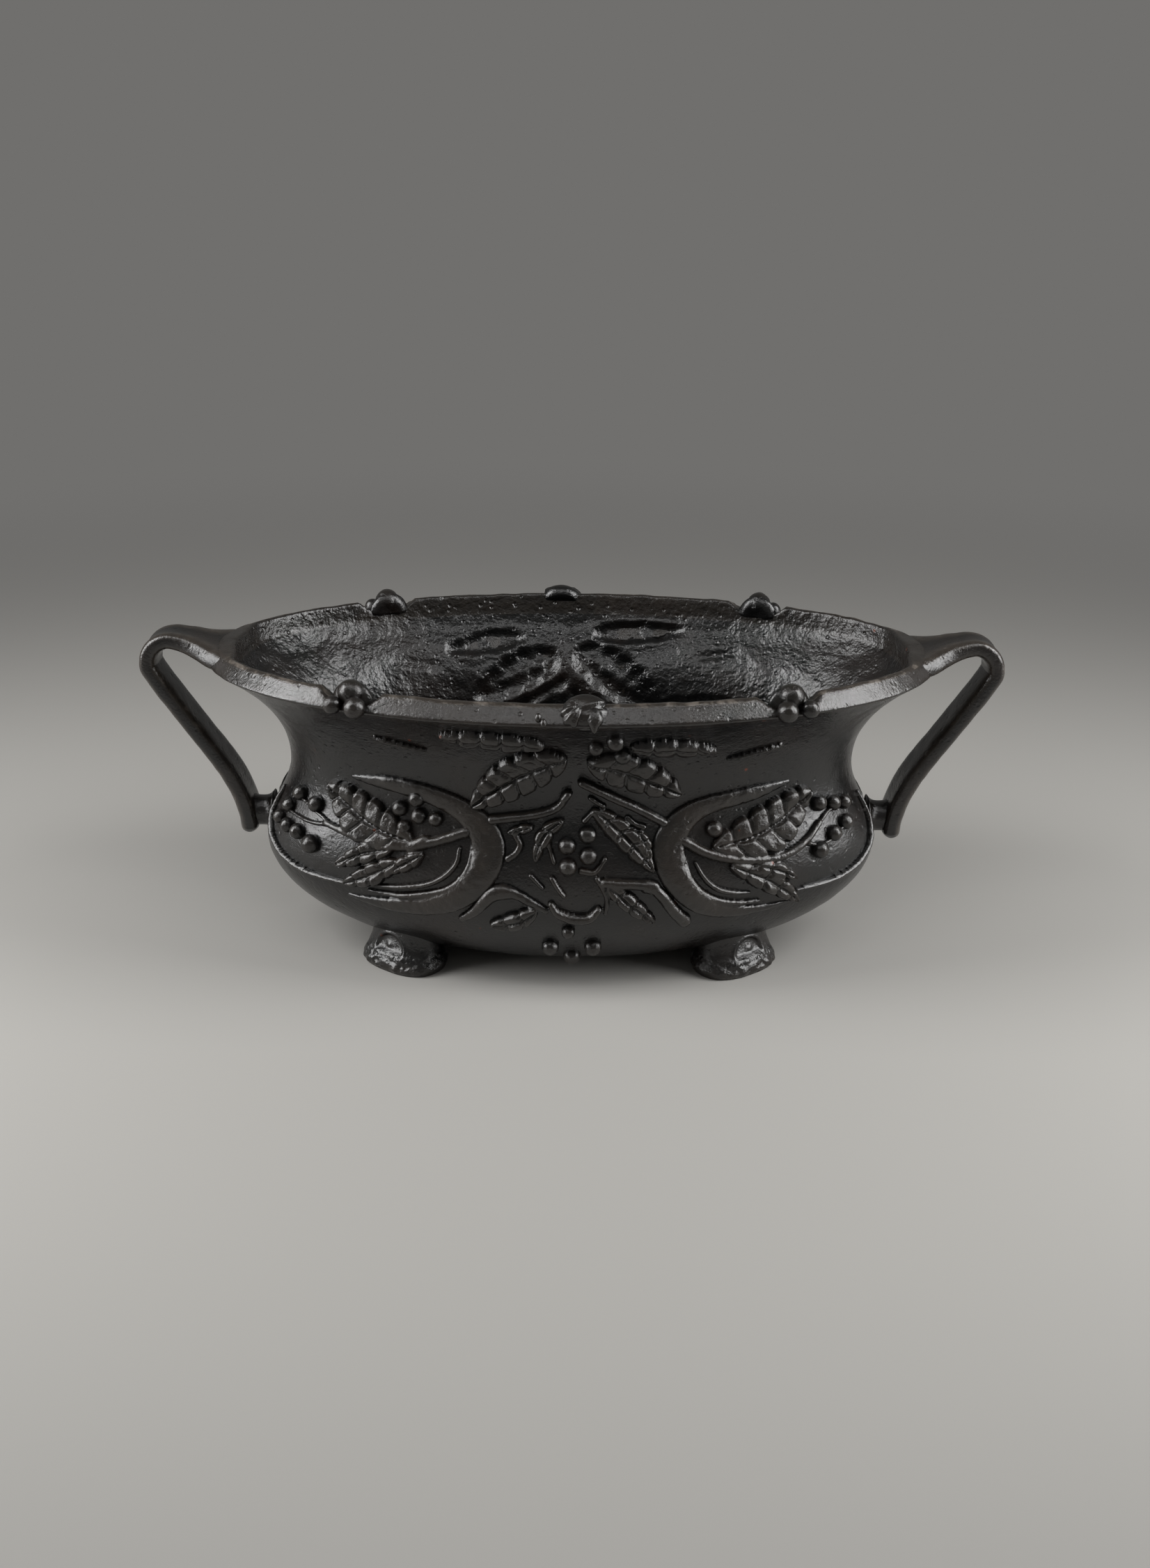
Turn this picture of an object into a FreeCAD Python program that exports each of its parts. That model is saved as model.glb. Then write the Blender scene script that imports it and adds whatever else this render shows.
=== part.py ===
import FreeCAD
import Part

import math
import os

from FreeCAD import Vector

# Oval cast iron planter with holly ornament. Millimetres, +Z up, +X along its length, front at -Y.
# The origin is on the floor under the middle of the bowl.

# Bowl: half length and half depth of its oval at five heights
BASE_HEIGHT = 8.0
BASE_HALF_LENGTH = 90.0
BASE_HALF_DEPTH = 50.0
BELLY_HEIGHT = 61.0
BELLY_HALF_LENGTH = 171.0
BELLY_HALF_DEPTH = 90.0
NECK_HEIGHT = 107.0
NECK_HALF_LENGTH = 155.5
NECK_HALF_DEPTH = 81.0
LIP_HEIGHT = 162.0
LIP_HALF_LENGTH = 197.0
LIP_HALF_DEPTH = 111.0
CREST_HEIGHT = 170.5
CREST_HALF_LENGTH = 191.0
CREST_HALF_DEPTH = 103.5
CREST_WIDTH = 3.5
WALL = 5.0
FLOOR = 6.0
UNDERSIDE_FULLNESS = 0.62
FLARE_SHARPNESS = 2.2

# Handles
OVERALL_LENGTH = 470.0
HANDLE_TOP = 177.5
STRAP_WIDTH = 24.0
STRAP_THICKNESS = 10.5
STRAP_SQUARENESS = 3.2
BEND_RADIUS = 12.5
ROOT_WIDTH = 58.0
ROOT_THICKNESS = 28.0
ROOT_INSET = 31.0
ROOT_DROP = 8.0
LEG_END_HEIGHT = 60.0
LEG_STAND_OFF = 9.5
LEG_START_LEAN = 0.30
LEG_START_DROP = 0.48
LEG_END_RISE = 0.33
LEG_END_TAPER = 0.72
BOSS_RADIUS = 8.5
BOSS_HEIGHT = 71.0
DOWEL_DIAMETER = 5.0
DOWEL_LENGTH = 13.0
DOWEL_IN_RIM = 7.5
DOWEL_RISE = 3.5

# Feet
FOOT_X = 91.0
FOOT_Y = 45.0
FOOT_HALF_WIDTH = 25.0
FOOT_HALF_REACH = 17.0
FOOT_RISE = 26.0
FOOT_SQUARENESS = 2.5
FOOT_WAIST_SHARE = 0.84
FOOT_WAIST_INSET = 2.0
FOOT_SHOULDER_INSET = 3.5
FOOT_TOP_INSET = 6.0
FOOT_TURN = 53.0
FOOT_ARCH_RADIUS = 10.0
FOOT_ARCH_DEPTH = 2.5
FOOT_LEDGE = 7.0

# Screws
SCREW_DIAMETER = 5.0
SCREW_HEAD_DIAMETER = 10.0
SCREW_HEAD_HEIGHT = 3.5
SCREW_CLEARANCE = 0.5
SCREW_GRIP = 8.0
FOOT_SCREW_INSET = 13.0

# Rim ornament
CLUSTER_ANGLE = 55.0
CLUSTER_DIP = 8.0
CLUSTER_SADDLE_RADIUS = 22.0
CLUSTER_ARCH_RADIUS = 11.0
CLUSTER_ARCH_RISE = 12.0
CLUSTER_ARCH_REACH = 2.0
RIM_BERRY_RISE = 7.2
RIM_BERRY_LOWER_RISE = 2.2
RIM_BERRY_RADIUS = 6.8
RIM_BERRY_RADIUS_INNER = 5.6
RIM_BERRY_RADIUS_OUTER = 4.7
CLASP_OFFSET = 7.0
CLASP_HALF_WIDTH = 11.7
CLASP_HALF_DEPTH = 7.0
CLASP_HALF_HEIGHT = 8.8
CLASP_RISE = 5.0
CLASP_LOBE_RADIUS = 5.5
CLASP_TIP_SIDE = 4.4
CLASP_TIP_HALF_WIDTH = 4.2
CLASP_TIP_HALF_LENGTH = 6.5
CLASP_TIP_RELIEF = 3.2

# Relief: how far it stands off the wall, and the bowl that the pattern was drawn for
RIBBON_RELIEF = 3.6
LEAF_RELIEF = 3.6
BORDER_RELIEF = 2.0
REVERSE_DEPTH = 2.4
MAIN_LEAF_WIDTH = 11.0
BERRY_STAND_OFF = 0.3
LEAST_RELIEF_VOLUME = 5.0
PATTERN_HALF_LENGTH = 171.0
PATTERN_HEIGHT = 170.5
PANEL_TURN = 40.0

# Pattern of the middle panel: (across, height) as seen from the front
CENTRE_LEAVES = [
    ((-2.0, 140.0), (-51.0, 107.0), 22.0),
    ((8.0, 137.0), (57.0, 114.0), 20.0),
    ((-3.0, 102.0), (-18.0, 78.0), 8.0),
    ((12.0, 106.0), (44.0, 73.0), 13.0),
    ((-16.0, 54.0), (-42.0, 43.0), 9.0),
    ((19.0, 68.0), (45.0, 45.0), 8.0),
    ((-18.0, 96.0), (-36.0, 94.0), 6.0),
    ((-12.0, 148.0), (-66.0, 152.0), 9.0),
    ((32.0, 147.0), (74.0, 142.0), 9.0),
]
CENTRE_STEMS = [
    ([(-46.0, 101.0), (-28.0, 103.0), (-12.0, 105.5), (-1.0, 116.0)], 4.5),
    ([(6.0, 125.0), (18.0, 116.0), (34.0, 107.0), (49.0, 98.0)], 4.5),
    ([(-56.0, 45.0), (-40.0, 64.0), (-28.0, 65.0), (-8.0, 52.5), (5.0, 47.5),
      (16.0, 54.0), (18.0, 66.0)], 4.5),
    ([(-27.0, 93.0), (-26.0, 87.0), (-31.0, 81.0), (-36.0, 74.0)], 3.5),
    ([(18.0, 70.0), (31.0, 70.0), (45.0, 66.0), (60.0, 45.0)], 4.5),
]
CENTRE_BERRIES = [(-1.5, 88.0, 4.8), (9.0, 93.5, 4.8), (9.5, 83.0, 4.8), (-1.0, 77.5, 4.8)]
CENTRE_BERRIES += [(22.0, 150.0, 4.6), (26.0, 140.0, 4.6), (12.5, 146.0, 4.2)]
BASE_BERRIES = [(-10.0, 27.0, 4.6), (1.5, 17.0, 4.6), (12.5, 27.0, 4.6), (-0.5, 39.0, 3.6)]

# Pattern of an end panel: (across, height) seen square on, with across growing towards the handle
LEFT_SCROLL = [(60.0, 113.0), (43.0, 113.5), (28.0, 113.5), (12.0, 111.0), (-3.0, 105.5), (-14.0, 97.0)]
LEFT_SCROLL += [(-20.0, 87.0), (-21.0, 76.0), (-17.0, 66.0), (-8.0, 57.0)]
LEFT_SCROLL += [(6.0, 51.0), (22.0, 48.5), (40.0, 48.0), (60.0, 49.0)]
RIGHT_SCROLL = [(60.0, 114.0), (42.0, 111.5), (28.0, 109.5), (10.0, 106.5), (0.0, 102.5), (-7.0, 96.0)]
RIGHT_SCROLL += [(-12.0, 88.0), (-13.5, 79.0), (-12.0, 70.0), (-6.0, 60.5), (3.0, 53.0)]
RIGHT_SCROLL += [(14.0, 48.5), (28.0, 46.5), (60.0, 48.0)]
SCROLL_WIDTH = 11.0
BORDER = [(44.0, 56.0), (79.0, 56.5), (99.0, 60.5), (112.0, 68.5), (116.0, 79.0), (112.0, 91.0)]
BORDER_WIDTH = 3.0
LEFT_LEAVES = [((16.0, 86.0), (67.0, 107.0), 20.0), ((24.0, 74.0), (55.0, 62.0), 12.0)]
LEFT_LEAVES += [((8.0, 79.0), (25.0, 67.0), 7.0)]
LEFT_STEMS = [([(-9.0, 92.0), (5.0, 85.5), (24.0, 80.5), (45.0, 82.0), (66.0, 85.0)], 5.0)]
LEFT_BERRIES = [(16.0, 107.5, 4.6), (24.5, 101.0, 4.4), (14.5, 98.0, 4.4), (21.0, 91.5, 4.0)]
LEFT_BERRIES += [(6.0, 97.5, 4.0), (76.0, 93.0, 4.6), (90.0, 95.0, 4.4), (98.0, 86.5, 4.2)]
LEFT_BERRIES += [(104.0, 78.5, 4.0), (94.5, 77.0, 4.2), (85.0, 76.5, 4.4), (73.5, 73.0, 5.2)]
RIGHT_LEAVES = [((9.0, 84.0), (66.0, 106.5), 20.0), ((14.0, 74.0), (55.0, 48.0), 11.0)]
RIGHT_LEAVES += [((28.0, 71.0), (50.0, 63.0), 6.0)]
RIGHT_STEMS = [([(-5.0, 88.0), (3.0, 82.0), (13.0, 78.0), (28.0, 75.0), (44.0, 75.0), (70.0, 87.0)], 5.0)]
RIGHT_BERRIES = [(10.0, 93.5, 4.6), (72.0, 97.0, 4.6), (83.0, 94.5, 4.4), (92.5, 92.5, 4.2)]
RIGHT_BERRIES += [(89.5, 83.0, 4.4), (78.5, 80.0, 4.6), (67.0, 74.0, 4.8)]

UP = Vector(0, 0, 1)
OUTER_X = OVERALL_LENGTH / 2
FLOOR_TOP = BASE_HEIGHT + FLOOR


def half_size(height, base, belly, neck, lip):
    """Half length or half depth of the bowl's oval at a height, from its four driving sizes."""
    if height <= BELLY_HEIGHT:
        drop = (BELLY_HEIGHT - height) / (BELLY_HEIGHT - BASE_HEIGHT)
        return base + (belly - base) * max(0.0, 1 - drop * drop) ** UNDERSIDE_FULLNESS
    if height <= NECK_HEIGHT:
        rise = (height - BELLY_HEIGHT) / (NECK_HEIGHT - BELLY_HEIGHT)
        return belly + (neck - belly) * (1 - math.cos(math.pi * rise)) / 2
    rise = (height - NECK_HEIGHT) / (LIP_HEIGHT - NECK_HEIGHT)
    return neck + (lip - neck) * rise ** FLARE_SHARPNESS


def half_length(height):
    return half_size(height, BASE_HALF_LENGTH, BELLY_HALF_LENGTH, NECK_HALF_LENGTH, LIP_HALF_LENGTH)


def half_depth(height):
    return half_size(height, BASE_HALF_DEPTH, BELLY_HALF_DEPTH, NECK_HALF_DEPTH, LIP_HALF_DEPTH)


def oval(height, length, depth):
    """Closed wire of the ellipse with these half sizes at a height."""
    return Part.Wire([Part.Ellipse(Vector(0, 0, height), length, depth).toShape()])


def wall_heights():
    """Heights of the sections that the wall is drawn through, closer together near the floor."""
    under = [BASE_HEIGHT + (BELLY_HEIGHT - BASE_HEIGHT) * (i / 6) ** 2 for i in range(6)]
    waist = [BELLY_HEIGHT + (NECK_HEIGHT - BELLY_HEIGHT) * i / 4 for i in range(4)]
    flare = [NECK_HEIGHT + (LIP_HEIGHT - NECK_HEIGHT) * i / 5 for i in range(6)]
    return under + waist + flare


def wall_solid(growth):
    """Solid inside the bowl's outer wall up to the lip, grown sideways."""
    sections = [oval(z, half_length(z) + growth, half_depth(z) + growth) for z in wall_heights()]
    return Part.makeLoft(sections, True, False)


def bowl_envelope():
    """The bowl's outside with its bevelled rim, not yet hollow."""
    lip = oval(LIP_HEIGHT, LIP_HALF_LENGTH, LIP_HALF_DEPTH)
    crest = oval(CREST_HEIGHT, CREST_HALF_LENGTH, CREST_HALF_DEPTH)
    return wall_solid(0).fuse(Part.makeLoft([lip, crest], True, True)).removeSplitter()


def cavity():
    """The room inside the bowl, reaching just over the rim."""
    over = 1.0
    heights = [FLOOR_TOP] + [z for z in wall_heights() if FLOOR_TOP + 2 < z < LIP_HEIGHT - WALL]
    sections = [oval(z, half_length(z) - WALL, half_depth(z) - WALL) for z in heights]
    mouth_length = CREST_HALF_LENGTH - CREST_WIDTH
    mouth_depth = CREST_HALF_DEPTH - CREST_WIDTH
    sections.append(oval(CREST_HEIGHT + over, mouth_length, mouth_depth))
    return Part.makeLoft(sections, True, False)


def oval_frame(angle, height, length, depth):
    """Point on an oval at an angle from +X, with the horizontal outward and sideways directions there."""
    turn = math.radians(angle)
    point = Vector(length * math.cos(turn), depth * math.sin(turn), height)
    outward = Vector(math.cos(turn) / length, math.sin(turn) / depth, 0).normalize()
    return point, outward, UP.cross(outward)


def cluster_frames():
    """Place of each group of rim berries, keyed by its side."""
    angles = {"back_right": CLUSTER_ANGLE, "back_left": 180 - CLUSTER_ANGLE}
    angles.update({"front_left": 180 + CLUSTER_ANGLE, "front_right": -CLUSTER_ANGLE})
    dipped = CREST_HEIGHT - CLUSTER_DIP
    return {side: oval_frame(a, dipped, CREST_HALF_LENGTH, CREST_HALF_DEPTH) for side, a in angles.items()}


def saddle(frame):
    """Round cutter that lowers the rim under a group of berries."""
    point, outward, _ = frame
    reach = 3 * (LIP_HALF_DEPTH - CREST_HALF_DEPTH + CREST_WIDTH)
    start = point + UP * CLUSTER_SADDLE_RADIUS - outward * reach / 2
    return Part.makeCylinder(CLUSTER_SADDLE_RADIUS, reach, start, outward)


def rim_berries(frame, envelope):
    """Three berries on a low arch: one over the dipped crest and two lower on the bevel."""
    point, outward, sideways = frame
    towards_middle = sideways if sideways.x * point.x < 0 else sideways * -1
    step = outward * (LIP_HALF_DEPTH - CREST_HALF_DEPTH) + UP * RIM_BERRY_LOWER_RISE
    inner = point + step + towards_middle * RIM_BERRY_RADIUS_INNER
    outer = point + step - towards_middle * RIM_BERRY_RADIUS
    top = Part.makeSphere(RIM_BERRY_RADIUS, point + UP * RIM_BERRY_RISE, outward)
    lower = [Part.makeSphere(RIM_BERRY_RADIUS_INNER, inner, outward)]
    lower.append(Part.makeSphere(RIM_BERRY_RADIUS_OUTER, outer, outward))
    arch_start = point - outward * CREST_WIDTH + UP * (CLUSTER_ARCH_RISE - CLUSTER_ARCH_RADIUS)
    disc = Part.makeCylinder(CLUSTER_ARCH_RADIUS, CREST_WIDTH + CLUSTER_ARCH_REACH, arch_start, outward)
    corner = Vector(-OUTER_X, -OUTER_X, LIP_HEIGHT)
    over_lip = Part.makeBox(OVERALL_LENGTH, OVERALL_LENGTH, LIP_HEIGHT, corner)
    return top.multiFuse(lower + [disc.common(over_lip)]).cut(envelope)


def ellipsoid(centre, half_x, half_y, half_z):
    """Ball stretched along the three axes."""
    stretch = FreeCAD.Matrix(half_x, 0, 0, centre.x, 0, half_y, 0, centre.y,
                             0, 0, half_z, centre.z, 0, 0, 0, 1)
    return Part.makeSphere(1).transformGeometry(stretch)


def front_clasp(envelope):
    """Leaf folded over the front rim near its middle: a dome over the crest, a lobe and a drawn-down tip."""
    bevel_y = -(CREST_HALF_DEPTH + LIP_HALF_DEPTH) / 2
    bevel_z = (CREST_HEIGHT + LIP_HEIGHT) / 2
    dome_y = CREST_WIDTH / 3 - CREST_HALF_DEPTH
    dome_place = Vector(CLASP_OFFSET, dome_y, CREST_HEIGHT + CLASP_RISE - CLASP_HALF_HEIGHT)
    dome = ellipsoid(dome_place, CLASP_HALF_WIDTH, CLASP_HALF_DEPTH, CLASP_HALF_HEIGHT)
    lobe_x = CLASP_OFFSET - CLASP_HALF_WIDTH + CLASP_LOBE_RADIUS
    lobe = Part.makeSphere(CLASP_LOBE_RADIUS, Vector(lobe_x, bevel_y, bevel_z))
    tip_y = (bevel_y - LIP_HALF_DEPTH) / 2
    tip_place = Vector(CLASP_OFFSET + CLASP_TIP_SIDE, tip_y, (bevel_z + LIP_HEIGHT) / 2)
    tip = ellipsoid(tip_place, CLASP_TIP_HALF_WIDTH, CLASP_TIP_RELIEF, CLASP_TIP_HALF_LENGTH)
    return dome.multiFuse([lobe, tip]).cut(envelope)


def rounded_section(centre, across, along, half_across, half_along, squareness):
    """Closed smooth outline between an ellipse and a rectangle, in the plane of two directions."""
    count = 20
    points = []
    for i in range(count):
        turn = 2 * math.pi * i / count
        c = math.cos(turn)
        s = math.sin(turn)
        u = math.copysign(abs(c) ** (2 / squareness), c) * half_across
        v = math.copysign(abs(s) ** (2 / squareness), s) * half_along
        points.append(centre + across * u + along * v)
    curve = Part.BSplineCurve()
    curve.interpolate(points, PeriodicFlag=True)
    return Part.Wire([curve.toShape()])


def strap_stations():
    """(x, z, width, thickness) down the middle of the right strap, from under the rim to the leg's end."""
    half = STRAP_THICKNESS / 2
    bend_x = OUTER_X - half - BEND_RADIUS
    bend_z = HANDLE_TOP - half - BEND_RADIUS
    crown = (bend_x, bend_z + BEND_RADIUS)
    root = (LIP_HALF_LENGTH - ROOT_INSET, LIP_HEIGHT - ROOT_DROP)
    stations = []
    for share in (0.0, 0.24, 0.47, 0.68, 0.86):
        slim = share ** 0.8
        x = root[0] + (crown[0] - root[0]) * share
        z = root[1] + (crown[1] - root[1]) * math.sin(math.pi / 2 * share) ** 1.25
        width = ROOT_WIDTH + (STRAP_WIDTH - ROOT_WIDTH) * math.sin(math.pi / 2 * slim)
        thickness = ROOT_THICKNESS + (STRAP_THICKNESS - ROOT_THICKNESS) * math.sin(math.pi / 2 * slim)
        stations.append((x, z, width, thickness))
    for degrees in (90, 50, 10, -30):
        turn = math.radians(degrees)
        x = bend_x + BEND_RADIUS * math.cos(turn)
        z = bend_z + BEND_RADIUS * math.sin(turn)
        stations.append((x, z, STRAP_WIDTH, STRAP_THICKNESS))
    start = stations[-1]
    end = (BELLY_HALF_LENGTH + LEG_STAND_OFF, LEG_END_HEIGHT)
    length = start[1] - end[1]
    first = (start[0] - LEG_START_LEAN * length, start[1] - LEG_START_DROP * length)
    second = (end[0], end[1] + LEG_END_RISE * length)
    for t in (0.2, 0.4, 0.6, 0.8, 0.94, 1.0):
        weights = ((1 - t) ** 3, 3 * t * (1 - t) ** 2, 3 * t * t * (1 - t), t ** 3)
        corners = (start, first, second, end)
        x = sum(w * c[0] for w, c in zip(weights, corners))
        z = sum(w * c[1] for w, c in zip(weights, corners))
        taper = LEG_END_TAPER if t == 1.0 else 1.0
        stations.append((x, z, STRAP_WIDTH * taper, STRAP_THICKNESS * taper))
    return stations


def right_handle(envelope, dowel, screw):
    """Strap with its boss, seated on the bowl, bored for the dowel above and the screw below."""
    stations = strap_stations()
    sections = []
    for i, (x, z, width, thickness) in enumerate(stations):
        before = stations[max(i - 1, 0)]
        after = stations[min(i + 1, len(stations) - 1)]
        along = Vector(after[0] - before[0], 0, after[1] - before[1]).normalize()
        across = Vector(0, 1, 0)
        outward = along.cross(across)
        middle = Vector(x, 0, z)
        sections.append(rounded_section(middle, across, outward, width / 2, thickness / 2, STRAP_SQUARENESS))
    strap = Part.makeLoft(sections, True, False)
    boss_end = BELLY_HALF_LENGTH + LEG_STAND_OFF
    boss = Part.makeCylinder(BOSS_RADIUS, 4 * WALL, Vector(boss_end, 0, BOSS_HEIGHT), Vector(-1, 0, 0))
    return strap.fuse(boss).cut(envelope).cut(dowel).cut(screw)


def right_dowel():
    """Blind pin half in the rim's end and half in the strap's root."""
    start = Vector(LIP_HALF_LENGTH - DOWEL_IN_RIM, 0, LIP_HEIGHT + DOWEL_RISE)
    return Part.makeCylinder(DOWEL_DIAMETER / 2, DOWEL_LENGTH, start, Vector(1, 0, 0))


def screw(seat, direction, depth, hollow):
    """Round-headed screw: its head stands on the seat inside the bowl and its shank runs along direction."""
    top = seat - direction * SCREW_HEAD_HEIGHT
    head = Part.makeCylinder(SCREW_HEAD_DIAMETER / 2, SCREW_HEAD_HEIGHT + WALL, top, direction)
    shank = Part.makeCylinder(SCREW_DIAMETER / 2, depth, seat, direction)
    return head.common(hollow).fuse(shank)


def foot(envelope):
    """Front right foot: a waisted block turned to the corner, with an arched recess above a ledge."""
    turn = math.radians(-FOOT_TURN)
    outward = Vector(math.cos(turn), math.sin(turn), 0)
    sideways = UP.cross(outward)
    centre = Vector(FOOT_X, -FOOT_Y, 0)
    top = BASE_HEIGHT + FOOT_RISE
    levels = [(0.0, 0.95, 0.0), (0.12, 1.0, 0.0), (0.42, FOOT_WAIST_SHARE, FOOT_WAIST_INSET)]
    levels += [(0.7, FOOT_WAIST_SHARE, FOOT_SHOULDER_INSET), (1.0, 1.0, FOOT_TOP_INSET)]
    sections = []
    for share, size, inset in levels:
        place = centre - outward * inset + UP * top * share
        reach = FOOT_HALF_REACH * size
        width = FOOT_HALF_WIDTH * size
        sections.append(rounded_section(place, outward, sideways, reach, width, FOOT_SQUARENESS))
    block = Part.makeLoft(sections, True, False)
    face = FOOT_HALF_REACH * FOOT_WAIST_SHARE - FOOT_WAIST_INSET
    back_of_arch = centre + outward * (face - FOOT_ARCH_DEPTH) + UP * FOOT_LEDGE
    pocket = Part.makeCylinder(FOOT_ARCH_RADIUS, 2 * FOOT_HALF_REACH, back_of_arch, outward)
    room = 3 * FOOT_HALF_WIDTH
    below_ledge = Part.makeBox(2 * room, 2 * room, FOOT_LEDGE, centre - Vector(room, room, 0))
    return block.cut(pocket.cut(below_ledge)).cut(envelope)


def foot_screw_axis():
    """Top point of the front right foot's screw, on the bowl's floor."""
    turn = math.radians(-FOOT_TURN)
    inward = Vector(-math.cos(turn), -math.sin(turn), 0)
    return Vector(FOOT_X, -FOOT_Y, FLOOR_TOP) + inward * FOOT_SCREW_INSET


class Panel:
    """Upright drawing plane in front of part of the wall."""

    def __init__(self, turn, mirrored):
        angle = math.radians(turn)
        self.normal = Vector(math.sin(angle), -math.cos(angle), 0)
        self.across = Vector(math.cos(angle), math.sin(angle), 0)
        if mirrored:
            self.normal.x = -self.normal.x
            self.across = Vector(-self.across.x, self.across.y, 0)

    def point(self, across, height):
        """Place on the panel, stretched from the drawn bowl to this one."""
        level = self.across * across * (BELLY_HALF_LENGTH / PATTERN_HALF_LENGTH)
        return level + UP * height * (CREST_HEIGHT / PATTERN_HEIGHT)

    def wall_point(self, across, height):
        """Where a line square to the panel meets the wall, with the wall's outward direction there."""
        flat = self.point(across, height)
        length = half_length(flat.z)
        depth = half_depth(flat.z)
        a = (self.normal.x / length) ** 2 + (self.normal.y / depth) ** 2
        b = flat.x * self.normal.x / length ** 2 + flat.y * self.normal.y / depth ** 2
        c = (flat.x / length) ** 2 + (flat.y / depth) ** 2 - 1
        point = flat + self.normal * ((-b + math.sqrt(max(0.0, b * b - a * c))) / a)
        return point, Vector(point.x / length ** 2, point.y / depth ** 2, 0).normalize()

    def leaf(self, base, tip, width):
        """Pointed oval outline between two ends."""
        start = self.point(*base)
        end = self.point(*tip)
        bulge = (end - start).cross(self.normal).normalize() * width / 2
        middle = (start + end) / 2
        sides = [Part.Arc(start, middle + bulge, end).toShape()]
        sides.append(Part.Arc(end, middle - bulge, start).toShape())
        return Part.Face(Part.Wire(sides))

    def strip(self, points, width):
        """Band of even width along a smooth line."""
        line = Part.BSplineCurve()
        line.interpolate([self.point(*p) for p in points])
        sides = ([], [])
        count = 4 * len(points)
        for i in range(count + 1):
            t = line.FirstParameter + (line.LastParameter - line.FirstParameter) * i / count
            offset = line.tangent(t)[0].cross(self.normal).normalize() * width / 2
            sides[0].append(line.value(t) + offset)
            sides[1].append(line.value(t) - offset)
        edges = []
        for side in sides:
            curve = Part.BSplineCurve()
            curve.interpolate(side)
            edges.append(curve.toShape())
        ends = [Part.makeLine(sides[0][k], sides[1][k]) for k in (0, -1)]
        return Part.Face(Part.Wire(Part.__sortEdges__(edges + ends)))

    def relief(self, faces, skin):
        """Solids of the drawn faces where they pass through a skin on the wall."""
        near = self.normal * BASE_HALF_DEPTH / 2
        far = self.normal * OVERALL_LENGTH / 2
        drawn = faces[0]
        if len(faces) > 1:
            drawn = drawn.multiFuse(faces[1:]).removeSplitter()
        prisms = [face.translated(near).extrude(far) for face in drawn.Faces]
        return Part.makeCompound([solid for prism in prisms for solid in prism.common(skin).Solids])

    def berries(self, places, wall):
        """Round berries bedded in the wall."""
        balls = []
        for across, height, radius in places:
            point, outward = self.wall_point(across, height)
            centre = point + outward * radius * BERRY_STAND_OFF
            balls.append(Part.makeSphere(radius, centre, outward).cut(wall))
        return Part.makeCompound([solid for ball in balls for solid in ball.Solids])


def main_leaves(panel, leaves):
    """Outlines of the leaves that are broad enough to show in reverse on the inside."""
    return [panel.leaf(*leaf) for leaf in leaves if leaf[2] >= MAIN_LEAF_WIDTH]


def trimmed(shape, *others):
    """The shape without what it shares with others, and without the flakes left where outlines cross."""
    for other in others:
        shape = shape.cut(other)
    return Part.makeCompound([solid for solid in shape.Solids if solid.Volume > LEAST_RELIEF_VOLUME])


def turned(shape):
    """Copy turned half round the upright axis, to the other long side and end."""
    copy = shape.copy()
    copy.rotate(Vector(0, 0, 0), UP, 180)
    return copy


def mirrored(shape, normal):
    """Mirror image through the middle of the bowl."""
    return shape.mirror(Vector(0, 0, 0), normal)


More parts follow.
